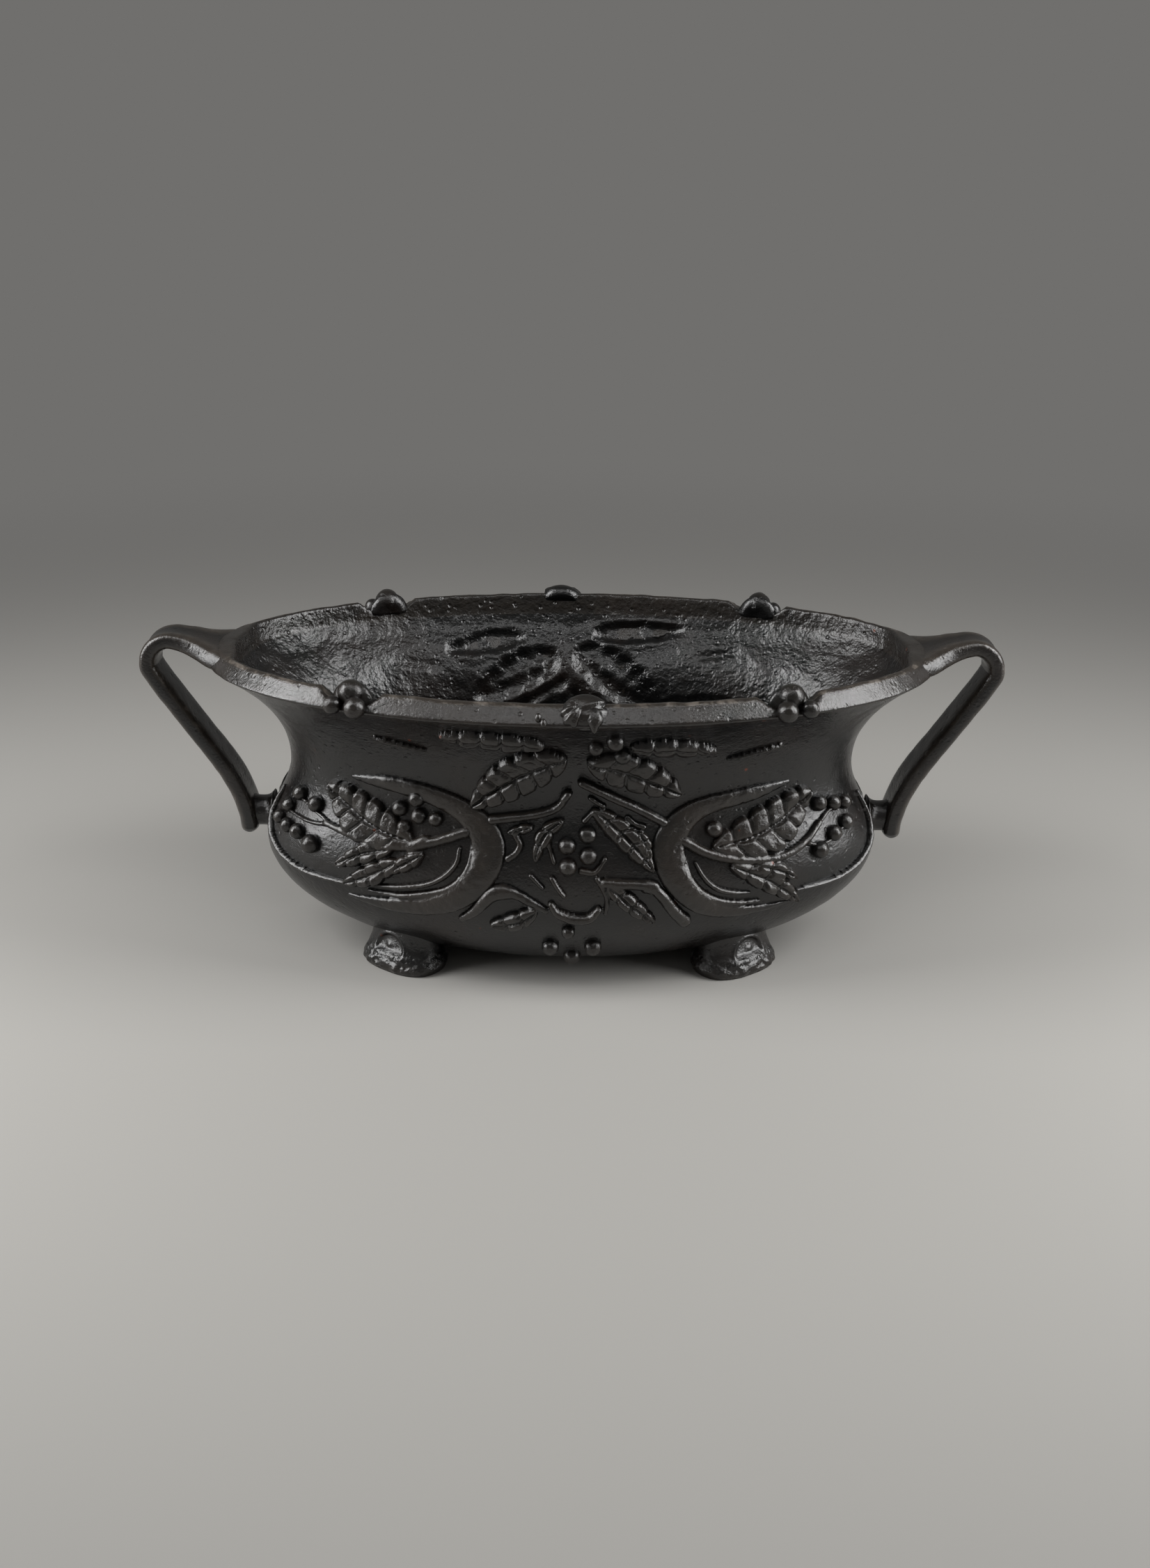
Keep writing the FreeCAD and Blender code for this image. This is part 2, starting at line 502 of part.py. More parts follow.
def build():
    """Every node of the planter, by name."""
    envelope = bowl_envelope()
    hollow = cavity()
    frames = cluster_frames()
    across = Vector(1, 0, 0)
    back = Vector(0, 1, 0)

    wall_inside = half_length(BOSS_HEIGHT) - WALL
    boss_screw = screw(Vector(wall_inside, 0, BOSS_HEIGHT), across, WALL + SCREW_GRIP, hollow)
    foot_screw = screw(foot_screw_axis(), UP * -1, FLOOR + SCREW_GRIP, hollow)
    dowel = right_dowel()
    handle = right_handle(envelope, dowel, boss_screw)
    front_right = foot(envelope).cut(foot_screw)
    screws = [foot_screw, mirrored(foot_screw, across), mirrored(foot_screw, back), turned(foot_screw)]

    bowl = envelope.cut(hollow)
    for frame in frames.values():
        bowl = bowl.cut(saddle(frame))
    hole_radius = (SCREW_DIAMETER + SCREW_CLEARANCE) / 2
    start = Vector(wall_inside - WALL, 0, BOSS_HEIGHT)
    holes = [Part.makeCylinder(hole_radius, 3 * WALL, start, across)]
    holes.append(mirrored(holes[0], across))
    for one in screws:
        axis = one.BoundBox.Center
        below = Vector(axis.x, axis.y, FLOOR_TOP - 2 * FLOOR)
        holes.append(Part.makeCylinder(hole_radius, 3 * FLOOR, below, UP))
    bowl = bowl.cut(Part.makeCompound(holes + [dowel, mirrored(dowel, across)]))

    nodes = {"bowl": bowl, "right_handle": handle, "left_handle": mirrored(handle, across)}
    nodes["handle_dowels"] = Part.makeCompound([dowel, mirrored(dowel, across)])
    nodes["handle_screws"] = Part.makeCompound([boss_screw, mirrored(boss_screw, across)])
    nodes["front_right_foot"] = front_right
    nodes["front_left_foot"] = mirrored(front_right, across)
    nodes["back_right_foot"] = mirrored(front_right, back)
    nodes["back_left_foot"] = turned(front_right)
    nodes["foot_screws"] = Part.makeCompound(screws)
    for side, frame in frames.items():
        nodes[side + "_rim_berries"] = rim_berries(frame, bowl.fuse(hollow))
    nodes["front_clasp"] = front_clasp(envelope)

    wall = wall_solid(0)
    ribbon_skin = wall_solid(RIBBON_RELIEF).cut(wall)
    leaf_skin = wall_solid(LEAF_RELIEF).cut(wall)
    border_skin = wall_solid(BORDER_RELIEF).cut(wall)
    reverse_skin = wall_solid(REVERSE_DEPTH - WALL).cut(wall_solid(-2 * WALL))
    middle = Panel(0, False)
    reverse = middle.relief(main_leaves(middle, CENTRE_LEAVES), reverse_skin).Solids
    leaves = [middle.leaf(*leaf) for leaf in CENTRE_LEAVES]
    stems = [middle.strip(*stem) for stem in CENTRE_STEMS]
    centre_berries = middle.berries(CENTRE_BERRIES, wall)
    nodes["front_centre_berries"] = centre_berries
    nodes["front_centre_holly"] = trimmed(middle.relief(leaves + stems, leaf_skin), centre_berries)
    nodes["front_base_berries"] = middle.berries(BASE_BERRIES, wall)
    ends = {"front_left": (Panel(PANEL_TURN, True), LEFT_SCROLL, LEFT_LEAVES, LEFT_STEMS, LEFT_BERRIES)}
    ends["front_right"] = (Panel(PANEL_TURN, False), RIGHT_SCROLL, RIGHT_LEAVES, RIGHT_STEMS, RIGHT_BERRIES)
    for side, (panel, scroll_line, leaf_list, stem_list, berry_list) in ends.items():
        scroll = panel.relief([panel.strip(scroll_line, SCROLL_WIDTH)], ribbon_skin)
        berries = panel.berries(berry_list, wall)
        border = panel.relief([panel.strip(BORDER, BORDER_WIDTH)], border_skin)
        leaves = [panel.leaf(*leaf) for leaf in leaf_list]
        stems = [panel.strip(*stem) for stem in stem_list]
        nodes[side + "_berries"] = berries
        nodes[side + "_scroll"] = trimmed(scroll, berries)
        nodes[side + "_panel_border"] = trimmed(border, berries, scroll)
        nodes[side + "_holly"] = trimmed(panel.relief(leaves + stems, leaf_skin), berries, scroll, border)
        nodes["front_centre_holly"] = trimmed(nodes["front_centre_holly"], scroll)
        sunk = [panel.strip(scroll_line, SCROLL_WIDTH)] + main_leaves(panel, leaf_list)
        reverse += panel.relief(sunk, reverse_skin).Solids
    for one in reverse:
        nodes["bowl"] = nodes["bowl"].cut(one).cut(turned(one))

    opposite = {"front_left": "back_right", "front_right": "back_left", "front": "back"}
    for name in [n for n in nodes if n.startswith("front") and not n.endswith(("_foot", "_rim_berries"))]:
        side = next(s for s in opposite if name.startswith(s))
        nodes[name.replace(side, opposite[side], 1)] = turned(nodes[name])
    return nodes


os.makedirs("parts", exist_ok=True)
for name, shape in build().items():
    shape.exportStep("parts/" + name + ".step")
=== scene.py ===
"""Oval cast iron planter with holly in relief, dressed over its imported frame. Shapes are in millimetres."""

import itertools
import logging
import math
from collections.abc import Callable
from dataclasses import dataclass
from enum import Enum
from functools import cache, reduce

import bmesh
import bpy
import numpy as np
from mathutils import Euler, Matrix, Vector


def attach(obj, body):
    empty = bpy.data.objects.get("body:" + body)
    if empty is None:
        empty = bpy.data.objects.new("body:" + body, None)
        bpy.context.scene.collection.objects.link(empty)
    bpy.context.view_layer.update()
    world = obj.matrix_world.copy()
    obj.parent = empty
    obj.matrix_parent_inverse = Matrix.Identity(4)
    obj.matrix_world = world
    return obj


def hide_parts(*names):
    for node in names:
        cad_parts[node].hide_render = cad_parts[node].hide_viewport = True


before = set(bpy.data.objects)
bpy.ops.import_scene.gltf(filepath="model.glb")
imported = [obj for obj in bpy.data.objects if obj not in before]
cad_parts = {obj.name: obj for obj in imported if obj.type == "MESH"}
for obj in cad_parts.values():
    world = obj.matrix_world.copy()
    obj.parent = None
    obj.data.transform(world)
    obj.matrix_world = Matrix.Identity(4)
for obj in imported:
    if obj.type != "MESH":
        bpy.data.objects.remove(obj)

Array = np.ndarray
Line = tuple[tuple[float, float], ...]
Triple = tuple[float, float, float]
Tree = bpy.types.NodeTree
Socket = bpy.types.NodeSocket
Material = bpy.types.Material
Piece = bpy.types.Object

MM = 0.001
UP = np.array((0.0, 0.0, 1.0))
HALF_TURN = Matrix.Rotation(math.pi, 4, "Z")
MIRROR_LENGTH = Matrix.Scale(-1, 4, Vector((1, 0, 0)))
MIRROR_DEPTH = Matrix.Scale(-1, 4, Vector((0, 1, 0)))
NOISE_CELLS = 32
NOISE = np.random.default_rng(5).uniform(-1, 1, (NOISE_CELLS,) * 3)
LOG = logging.getLogger("planter")


def linear(colour: str) -> tuple[float, float, float, float]:
    """Turns an sRGB hex colour into linear light.

    Args:
        colour: Six hex digits after a hash.

    Returns:
        Red, green, blue and an alpha of one.
    """
    parts = [int(colour[i:i + 2], 16) / 255 for i in (1, 3, 5)]
    red, green, blue = (c / 12.92 if c <= 0.04045 else ((c + 0.055) / 1.055) ** 2.4 for c in parts)
    return red, green, blue, 1.0


def add_node(tree: Tree, kind: str, settings: dict, links: dict) -> bpy.types.Node:
    """Adds a node to a shader tree.

    Args:
        tree: The tree that gets the node.
        kind: Blender's name of the node type.
        settings: Values by input name or index, or by property name.
        links: Output sockets by input name or index.

    Returns:
        The new node.
    """
    node = tree.nodes.new(kind)
    for key, value in settings.items():
        if isinstance(key, str) and hasattr(node, key):
            setattr(node, key, value)
        else:
            node.inputs[key].default_value = value
    for key, socket in links.items():
        tree.links.new(socket, node.inputs[key])
    return node


def new_material(name: str, settings: dict) -> tuple[Material, Tree, bpy.types.Node, Socket]:
    """Starts a material.

    Args:
        name: Its name.
        settings: Plain values of its shader by input name.

    Returns:
        The material, its tree, its shader and the place on the object.
    """
    material = bpy.data.materials.new(name)
    material.use_nodes = True
    tree = material.node_tree
    shader = tree.nodes["Principled BSDF"]
    for key, value in settings.items():
        shader.inputs[key].default_value = value
    return material, tree, shader, add_node(tree, "ShaderNodeTexCoord", {}, {}).outputs["Object"]


def combine(tree: Tree, operation: str, first: Socket, second: Socket) -> Socket:
    """Joins two values by the operation that Blender knows by this name."""
    return add_node(tree, "ShaderNodeMath", {"operation": operation}, {0: first, 1: second}).outputs[0]


def spread(tree: Tree, value: Socket, limits: tuple[float, ...], smooth: bool = False) -> Socket:
    """Spreads a value from one range to another.

    Args:
        tree: The tree that gets the node.
        value: The value.
        limits: Ends of the old range, then those of the new one if it isn't 0 to 1.
        smooth: Whether it eases in and out.

    Returns:
        The spread value.
    """
    settings = dict(zip(("From Min", "From Max", "To Min", "To Max"), limits))
    settings["interpolation_type"] = "SMOOTHSTEP" if smooth else "LINEAR"
    return add_node(tree, "ShaderNodeMapRange", settings, {"Value": value}).outputs[0]


def background_rays(tree: Tree) -> Socket:
    """One for rays that show the background: those of the camera, of reflections and of glass.

    Args:
        tree: The tree that gets the nodes.

    Returns:
        The value.
    """
    path = add_node(tree, "ShaderNodeLightPath", {}, {}).outputs
    seen = combine(tree, "MAXIMUM", path["Is Camera Ray"], path["Is Glossy Ray"])
    return combine(tree, "MAXIMUM", seen, path["Is Transmission Ray"])


def mesh_step(spacing: float) -> float:
    return spacing * 1


def ease(value: Array, low: float, high: float) -> Array:
    """Smooth step from 0 at low to 1 at high."""
    share = np.clip((value - low) / (high - low), 0, 1)
    return share * share * (3 - 2 * share)


def bump(value: Array, middle: float, width: float) -> Array:
    """Smooth hump of height one round a middle value."""
    return np.exp(-((value - middle) / width) ** 2)


def softened(values: Array, turns: int) -> Array:
    """Blends the values of a grid with their neighbours.

    Args:
        values: One value for each place of a closed grid.
        turns: How often they are blended.

    Returns:
        The blended values.
    """
    for _, axis in itertools.product(range(turns), (0, 1)):
        values = (np.roll(values, 1, axis) + 2 * values + np.roll(values, -1, axis)) / 4
    return values


def cast_noise(points: Array, cell: float) -> Array:
    """Smooth lumpy noise, the same on every run.

    Args:
        points: Places, one per row.
        cell: Width of a lump.

    Returns:
        Values from -1 to 1, one per place.
    """
    place = points / cell
    low = np.floor(place).astype(int)
    share = place - low
    share = share * share * (3 - 2 * share)
    total = np.zeros(len(points))
    for corner in itertools.product((0, 1), repeat=3):
        weight = np.prod(np.where(corner, share, 1 - share), axis=1)
        x, y, z = ((low + corner) % NOISE_CELLS).T
        total += weight * NOISE[x, y, z]
    return total


def cast_lumps(points: Array, layers: Line) -> Array:
    """Unevenness at places in any grid, from layers of noise given by depth and width of a lump."""
    flat = points.reshape(-1, 3)
    return sum(depth * cast_noise(flat, cell) for depth, cell in layers).reshape(points.shape[:-1])


def smooth_line(points: Line | Array, steps: int) -> Array:
    """Smooth curve through points.

    Args:
        points: The places it passes, with any number of coordinates.
        steps: Short runs between each two places.

    Returns:
        Places along the curve, one per row.
    """
    knots = np.array(points, dtype=float)
    padded = np.vstack((2 * knots[0] - knots[1], knots, 2 * knots[-1] - knots[-2]))
    t = np.linspace(0, 1, steps, endpoint=False)[:, None]
    spans = []
    for before, start, end, after in zip(padded, padded[1:], padded[2:], padded[3:]):
        square = 2 * before - 5 * start + 4 * end - after
        cube = 3 * start - before - 3 * end + after
        spans.append(0.5 * (2 * start + (end - before) * t + square * t ** 2 + cube * t ** 3))
    return np.vstack(spans + [knots[-1:]])


@dataclass(frozen=True)
class BlackedCastIron:
    """Sand-cast iron brushed with stove black: near-black satin sheen, grain and pits of sand, some rust, and
    a light grey where wear is highest that is partly rubbed bare iron and partly a painted highlight.
    """

    name: str
    roughness: tuple[float, float]
    grain_depth_mm: float
    pit_depth_mm: float
    # Moulding sand leaves about half a millimetre of grain. It is drawn coarser, so that it shows.
    grain_mm: float = 1.3
    lump_mm: float = 7.0
    lump_depth_mm: float = 0.35
    patch_mm: float = 45.0
    pit_spacing_mm: float = 5.5
    pit_share: float = 0.26
    rust_spacing_mm: float = 26.0
    rust_share: float = 0.05
    spot_core: float = 0.35
    brown_patches: tuple[float, float] = (0.45, 0.7)
    gloss_patches: tuple[float, float] = (0.3, 0.7)
    bare_and_highlight_range: tuple[float, ...] = (0.75, 1.0, 0.0, 0.7)
    ior: float = 1.6
    black: str = "#0c0c0c"
    brown: str = "#17110e"
    worn: str = "#38322c"
    # Light grey of rubbed bare iron, which on the rim crest and handle edges is also a painted highlight.
    bare_iron_and_highlight: str = "#6c655e"
    rust: str = "#5e2a16"

    @cache
    def material(self) -> Material:
        """Builds the shader once.

        Returns:
            The material, which reads the wear of each point from the mesh, including the painted highlight on
            the rim crest and handle edges.
        """
        material, tree, shader, place = new_material(self.name, {"IOR": self.ior})

        def noise(size_mm: float, detail: float) -> Socket:
            """Noise with lumps of a real size."""
            settings = {"Scale": 1 / (size_mm * MM), "Detail": detail, "Roughness": 0.6}
            return add_node(tree, "ShaderNodeTexNoise", settings, {"Vector": place}).outputs[0]

        def spots(gap_mm: float, share: float) -> Socket:
            """One at scattered round spots, falling to nothing at a share of the gap between them."""
            cells = add_node(tree, "ShaderNodeTexVoronoi", {"Scale": 1 / (gap_mm * MM)}, {"Vector": place})
            return spread(tree, cells.outputs["Distance"], (share, share * self.spot_core), smooth=True)

        grain = noise(self.grain_mm, 4)
        lumps = noise(self.lump_mm, 2)
        patches = noise(self.patch_mm, 3)
        pits = spots(self.pit_spacing_mm, self.pit_share)
        rust = spots(self.rust_spacing_mm, self.rust_share)
        worn = add_node(tree, "ShaderNodeAttribute", {"attribute_name": "wear"}, {}).outputs["Fac"]
        wear_and_highlight_grain = combine(tree, "MULTIPLY", worn, lumps)

        brown = spread(tree, patches, self.brown_patches)
        settings = {"data_type": "RGBA", 6: linear(self.black), 7: linear(self.brown)}
        colour = add_node(tree, "ShaderNodeMix", settings, {0: brown}).outputs[2]
        # Where wear is highest the colour turns light grey: rubbed bare iron, and on the rim crest and handle
        # edges partly a painted highlight.
        bare_and_highlight_share = spread(tree, wear_and_highlight_grain, self.bare_and_highlight_range)
        for share, coat in ((wear_and_highlight_grain, self.worn), (bare_and_highlight_share, self.bare_iron_and_highlight), (rust, self.rust)):
            settings = {"data_type": "RGBA", 7: linear(coat)}
            colour = add_node(tree, "ShaderNodeMix", settings, {0: share, 6: colour}).outputs[2]
        gloss = spread(tree, patches, (*self.gloss_patches, *self.roughness))

        normal = None
        depths = (self.lump_depth_mm, self.grain_depth_mm, -self.pit_depth_mm)
        for height, depth in zip((lumps, grain, pits), depths):
            links = {"Height": height} if normal is None else {"Height": height, "Normal": normal}
            settings = {"Distance": abs(depth) * MM, "invert": depth < 0}
            normal = add_node(tree, "ShaderNodeBump", settings, links).outputs[0]
        for key, socket in (("Base Color", colour), ("Roughness", gloss), ("Normal", normal)):
            tree.links.new(socket, shader.inputs[key])
        return material


SAND_FACE = BlackedCastIron("blacked_sand_cast_iron", (0.16, 0.3), 0.26, 0.16)
CORE_FACE = BlackedCastIron("blacked_rough_core_iron", (0.17, 0.32), 0.45, 0.35, grain_mm=2.2, lump_mm=5.0,
                            lump_depth_mm=0.85)


@dataclass(frozen=True)
class TurnedSteel:
    """Plain turned steel of screws and pins: dull grey metal with fine tool marks."""

    name: str = "turned_steel"
    colour: str = "#a09d98"
    roughness: float = 0.42
    mark_mm: float = 0.8
    mark_depth_mm: float = 0.04

    def material(self) -> Material:
        """Builds the shader.

        Returns:
            The material.
        """
        settings = {"Base Color": linear(self.colour), "Metallic": 1.0, "Roughness": self.roughness}
        material, tree, shader, place = new_material(self.name, settings)
        marks = add_node(tree, "ShaderNodeTexNoise", {"Scale": 1 / (self.mark_mm * MM)}, {"Vector": place})
        depth = {"Distance": self.mark_depth_mm * MM}
        normal = add_node(tree, "ShaderNodeBump", depth, {"Height": marks.outputs[0]}).outputs[0]
        tree.links.new(normal, shader.inputs["Normal"])
        return material


@dataclass(frozen=True)
class MatteFloor:
    """Matte painted board under the planter: one even pale tone that runs into the backdrop far off."""

    name: str = "matte_painted_board"
    colour: str = "#a3a19d"
    backdrop: str = "#706f6d"
    roughness: float = 0.9
    fade: tuple[float, float] = (0.3, 1.4)

    def material(self) -> Material:
        """Builds the shader.

        Returns:
            The material.
        """
        settings = {"Base Color": linear(self.colour), "Roughness": self.roughness}
        material, tree, shader, place = new_material(self.name, settings)
        distance = add_node(tree, "ShaderNodeVectorMath", {"operation": "LENGTH"}, {0: place})
        far = spread(tree, distance.outputs["Value"], self.fade, smooth=True)
        shown = combine(tree, "MULTIPLY", far, background_rays(tree))
        glow = add_node(tree, "ShaderNodeEmission", {"Color": linear(self.backdrop)}, {}).outputs[0]
        mix = add_node(tree, "ShaderNodeMixShader", {}, {0: shown, 1: shader.outputs[0], 2: glow}).outputs[0]
        tree.links.new(mix, tree.nodes["Material Output"].inputs["Surface"])
        return material


@dataclass
class Surface:
    """Points and faces of a closed surface, with the wear of each point, which also carries the painted
    highlight on the rim crest and handle edges.
    """

    points: Array
    faces: list
    wear: Array

    def joined(self, other: "Surface") -> "Surface":
        """Both surfaces as one."""
        faces = self.faces + [[i + len(self.points) for i in face] for face in other.faces]
        return Surface(np.vstack((self.points, other.points)), faces, np.concatenate((self.wear, other.wear)))

    def piece(self, node: str, rough: Array | None = None) -> Piece:
        """Makes the mesh object that stands for a node of the frame.

        Args:
            node: The node's name.
            rough: Which faces are as rough as the core left them, if any are.

        Returns:
            The object, riding on the root.
        """
        mesh = bpy.data.meshes.new(node + "_casting")
        mesh.from_pydata((self.points * MM).tolist(), [], self.faces)
        mesh.polygons.foreach_set("use_smooth", [True] * len(mesh.polygons))
        wear = mesh.attributes.new("wear", "FLOAT", "POINT")
        wear.data.foreach_set("value", self.wear.astype(np.float32))
        mesh.materials.append(SAND_FACE.material())
        if rough is not None:
            mesh.materials.append(CORE_FACE.material())
            mesh.polygons.foreach_set("material_index", rough.astype(np.int32))
        mesh.update()
        return placed(mesh, node)


def placed(mesh: bpy.types.Mesh, node: str) -> Piece:
    """Puts a mesh in the scene in place of a node.

    Args:
        mesh: The new mesh.
        node: The node it stands for.

    Returns:
        The object that shows it.
    """
    piece = bpy.data.objects.new(mesh.name, mesh)
    bpy.context.scene.collection.objects.link(piece)
    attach(piece, "root")
    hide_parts(node)
    LOG.info("%s: %d faces", piece.name, len(piece.data.polygons))
    return piece


def copied_piece(piece: Piece, node: str, change: Matrix) -> Piece:
    """Copies a piece to another side of the planter.

    Args:
        piece: The piece to copy.
        node: The node that the copy stands for.
        change: Turn or mirror about the planter's middle.

    Returns:
        The copy.
    """
    mesh = piece.data.copy()
    mesh.transform(change)
    if change.is_negative:
        mesh.flip_normals()
    mesh.name = node + "_casting"
    return placed(mesh, node)


def tube(grid: Array, ends: Array, wear: Array, end_wear: float = 0.0) -> Surface:
    """Tube of rings, closed at each end by a fan to a point.

    Args:
        grid: Points by ring and column.
        ends: Points that close the first and the last ring.
        wear: Wear of each point of the grid.
        end_wear: Wear of the two end points.

    Returns:
        The tube's surface, with the end points last.
    """
    rows, columns = grid.shape[:2]
    index = np.arange(rows * columns).reshape(rows, columns)
    after = np.roll(index, -1, axis=1)
    faces = np.stack((index[:-1], after[:-1], after[1:], index[1:]), axis=-1).reshape(-1, 4).tolist()
    first = rows * columns
    faces += [[first, b, a] for a, b in zip(index[0].tolist(), after[0].tolist())]
    faces += [[a, b, first + 1] for a, b in zip(index[-1].tolist(), after[-1].tolist())]
    points = np.vstack((grid.reshape(-1, 3), ends))
    return Surface(points, faces, np.concatenate((wear.ravel(), (end_wear, end_wear))))


def grid_normals(grid: Array, closed: bool) -> Array:
    """Outward directions over a grid of points whose columns go round the planter.

    Args:
        grid: Points by row and column.
        closed: Whether the last column meets the first.

    Returns:
        A unit vector for each point.
    """
    if closed:
        along = np.roll(grid, -1, axis=1) - np.roll(grid, 1, axis=1)
    else:
        along = np.gradient(grid, axis=1)
    normals = np.cross(along, np.gradient(grid, axis=0))
    return normals / np.maximum(np.linalg.norm(normals, axis=2, keepdims=True), 1e-9)


def oval_grid(rings: Array, angles: Array) -> Array:
    """Points of oval rings at angles round them.

    Args:
        rings: Half length, half depth and height, one ring per row.
        angles: Angles in radians.

    Returns:
        Points by ring and angle.
    """
    x = rings[:, :1] * np.cos(angles)
    y = rings[:, 1:2] * np.sin(angles)
    return np.stack((x, y, np.broadcast_to(rings[:, 2:], x.shape)), axis=-1)


def rounded_ring(columns: int, power: float) -> list[Array]:
    """Two shares from -1 to 1 round a ring: a circle at a power of 1, squarer below it."""
    turn = np.linspace(0, 2 * math.pi, columns, endpoint=False)
    return [np.sign(wave) * np.abs(wave) ** power for wave in (np.cos(turn), np.sin(turn))]


def berry_eye(unit: Array) -> Array:
    """Round scar with a raised edge on a berry's end."""
    away = np.hypot(unit[:, 1], unit[:, 2])
    return (0.03 * bump(away, 0.26, 0.1) - 0.07 * bump(away, 0.0, 0.13)) * (unit[:, 0] > 0)


def fan_ribs(unit: Array) -> Array:
    """Four ribs that spread from the upper corner of a folded leaf."""
    turn = np.arctan2(unit[:, 2] - 0.95, unit[:, 1] - 0.95)
    return 0.1 * np.cos(16 * turn) * ease(unit[:, 0], -0.1, 0.3)


def fold_slit(unit: Array) -> Array:
    """Slanting fold with a raised edge, across the right half of a smooth leaf.

    Args:
        unit: Points of a ball of radius one.

    Returns:
        How far each moves out.
    """
    gap = 0.94 * (unit[:, 2] - 0.03) - 0.34 * unit[:, 1]
    fold = 0.07 * bump(gap, 0.22, 0.1) - 0.26 * bump(gap, 0.0, 0.1)
    return fold * ease(unit[:, 0], 0.0, 0.4) * ease(unit[:, 1], -0.14, 0.06)


def narrowed(unit: Array) -> Array:
    """Draws in the sides of a ball's lower half, as on a tooth."""
    return -0.4 * ease(-unit[:, 2], -0.1, 0.9) * np.abs(unit[:, 1])


def hood(unit: Array) -> Array:
    """Draws in the lower half of a ball, which leaves a low arch, and hollows its back."""
    hollow = 0.45 * ease(-unit[:, 0], 0.2, 0.6) * np.exp(-(np.hypot(unit[:, 1], unit[:, 2]) / 0.55) ** 4)
    return -0.8 * ease(-unit[:, 2], 0.0, 0.3) - hollow


def plain(unit: Array) -> Array:
    """No change to a ball's surface."""
    return np.zeros(len(unit))


def ball(centre: Array, sizes: Triple, facing: Array, carve: Callable[[Array], Array] = plain) -> Surface:
    """Slightly uneven cast ball.

    Args:
        centre: Its middle.
        sizes: Half sizes along the facing direction, sideways and the third way.
        facing: Direction that it looks.
        carve: How far its points move out, as a share of its size.

    Returns:
        The ball's surface.
    """
    template = bmesh.new()
    bmesh.ops.create_icosphere(template, subdivisions=4, radius=1)
    unit = np.array([v.co for v in template.verts])
    faces = [[v.index for v in f.verts] for f in template.faces]
    template.free()
    forward = facing / np.linalg.norm(facing)
    side = np.cross(UP, forward)
    side = side / np.linalg.norm(side)
    third = np.cross(forward, side)
    reach = 1 + 0.035 * cast_noise(unit * 3 + centre, 1.7) + carve(unit)
    local = unit * reach[:, None] * np.array(sizes)
    points = centre + local[:, :1] * forward + local[:, 1:2] * side + local[:, 2:] * third
    return Surface(points, faces, 0.5 * np.clip(unit[:, 0], 0, 1))


@dataclass(frozen=True)
class BowlShape:
    """Oval form of the bowl: half length and half depth at its main heights, and the dips in its rim."""

    base: Triple = (90.0, 50.0, 8.0)
    belly: Triple = (171.0, 90.0, 61.0)
    neck: Triple = (155.5, 81.0, 107.0)
    lip: Triple = (197.0, 111.0, 162.0)
    crest: Triple = (191.0, 103.5, 170.5)
    crest_width: float = 3.5
    wall: float = 5.0
    floor: float = 6.0
    underside_fullness: float = 0.62
    flare_sharpness: float = 2.2
    waviness: Line = ((0.14, 6.0), (0.3, 28.0))
    cluster_angle: float = 55.0
    cluster_dip: float = 8.0

    def cluster_angles(self) -> dict[str, float]:
        """Places of the dips round the rim in degrees, by corner."""
        turn = self.cluster_angle
        return {"back_right": turn, "back_left": 180 - turn, "front_left": 180 + turn, "front_right": -turn}

    def half_sizes(self, height: Array) -> Array:
        """Half length and half depth of the outer wall.

        Args:
            height: Heights up to the lip.

        Returns:
            The two sizes, one row per height.
        """
        drop = np.clip((self.belly[2] - height) / (self.belly[2] - self.base[2]), 0, 1)
        waist = np.clip((height - self.belly[2]) / (self.neck[2] - self.belly[2]), 0, 1)
        rise = np.clip((height - self.neck[2]) / (self.lip[2] - self.neck[2]), 0, 1)
        columns = []
        for base, belly, neck, lip in list(zip(self.base, self.belly, self.neck, self.lip))[:2]:
            size = base + (belly - base) * (1 - drop ** 2) ** self.underside_fullness
            size = size + (neck - belly) * (1 - np.cos(math.pi * waist)) / 2
            columns.append(size + (lip - neck) * rise ** self.flare_sharpness)
        return np.column_stack(columns)

    def rings(self, heights: Array) -> Array:
        """Half length, half depth and height of the outer wall's rings."""
        return np.column_stack((self.half_sizes(heights), heights))

    def even_angles(self, spacing: float, start: float, end: float) -> Array:
        """Angles at even steps along the belly's oval.

        Args:
            spacing: Step along the oval.
            start: First angle in degrees.
            end: Last angle in degrees.

        Returns:
            Angles in radians.
        """
        fine = np.radians(np.linspace(start, end, 4000))
        speed = np.hypot(self.belly[0] * np.sin(fine), self.belly[1] * np.cos(fine))
        run = np.concatenate(((0.0,), np.cumsum((speed[1:] + speed[:-1]) / 2 * np.diff(fine))))
        return np.interp(np.linspace(0, run[-1], int(run[-1] / spacing) + 1), run, fine)

    def wavy(self, grid: Array, closed: bool) -> Array:
        """Moves a grid of wall points in and out a little, as a sand mould leaves them."""
        return grid + grid_normals(grid, closed) * cast_lumps(grid, self.waviness)[..., None]

    def oval_place(self, angle: float, ring: Triple) -> tuple[Array, Array, Array]:
        """Point on a ring with the outward and sideways directions there.

        Args:
            angle: Degrees from the length.
            ring: Half length, half depth and height.

        Returns:
            The point and two level unit vectors.
        """
        turn = math.radians(angle)
        point = np.array((ring[0] * math.cos(turn), ring[1] * math.sin(turn), ring[2]))
        outward = np.array((math.cos(turn) / ring[0], math.sin(turn) / ring[1], 0.0))
        outward /= np.linalg.norm(outward)
        return point, outward, np.cross(UP, outward)


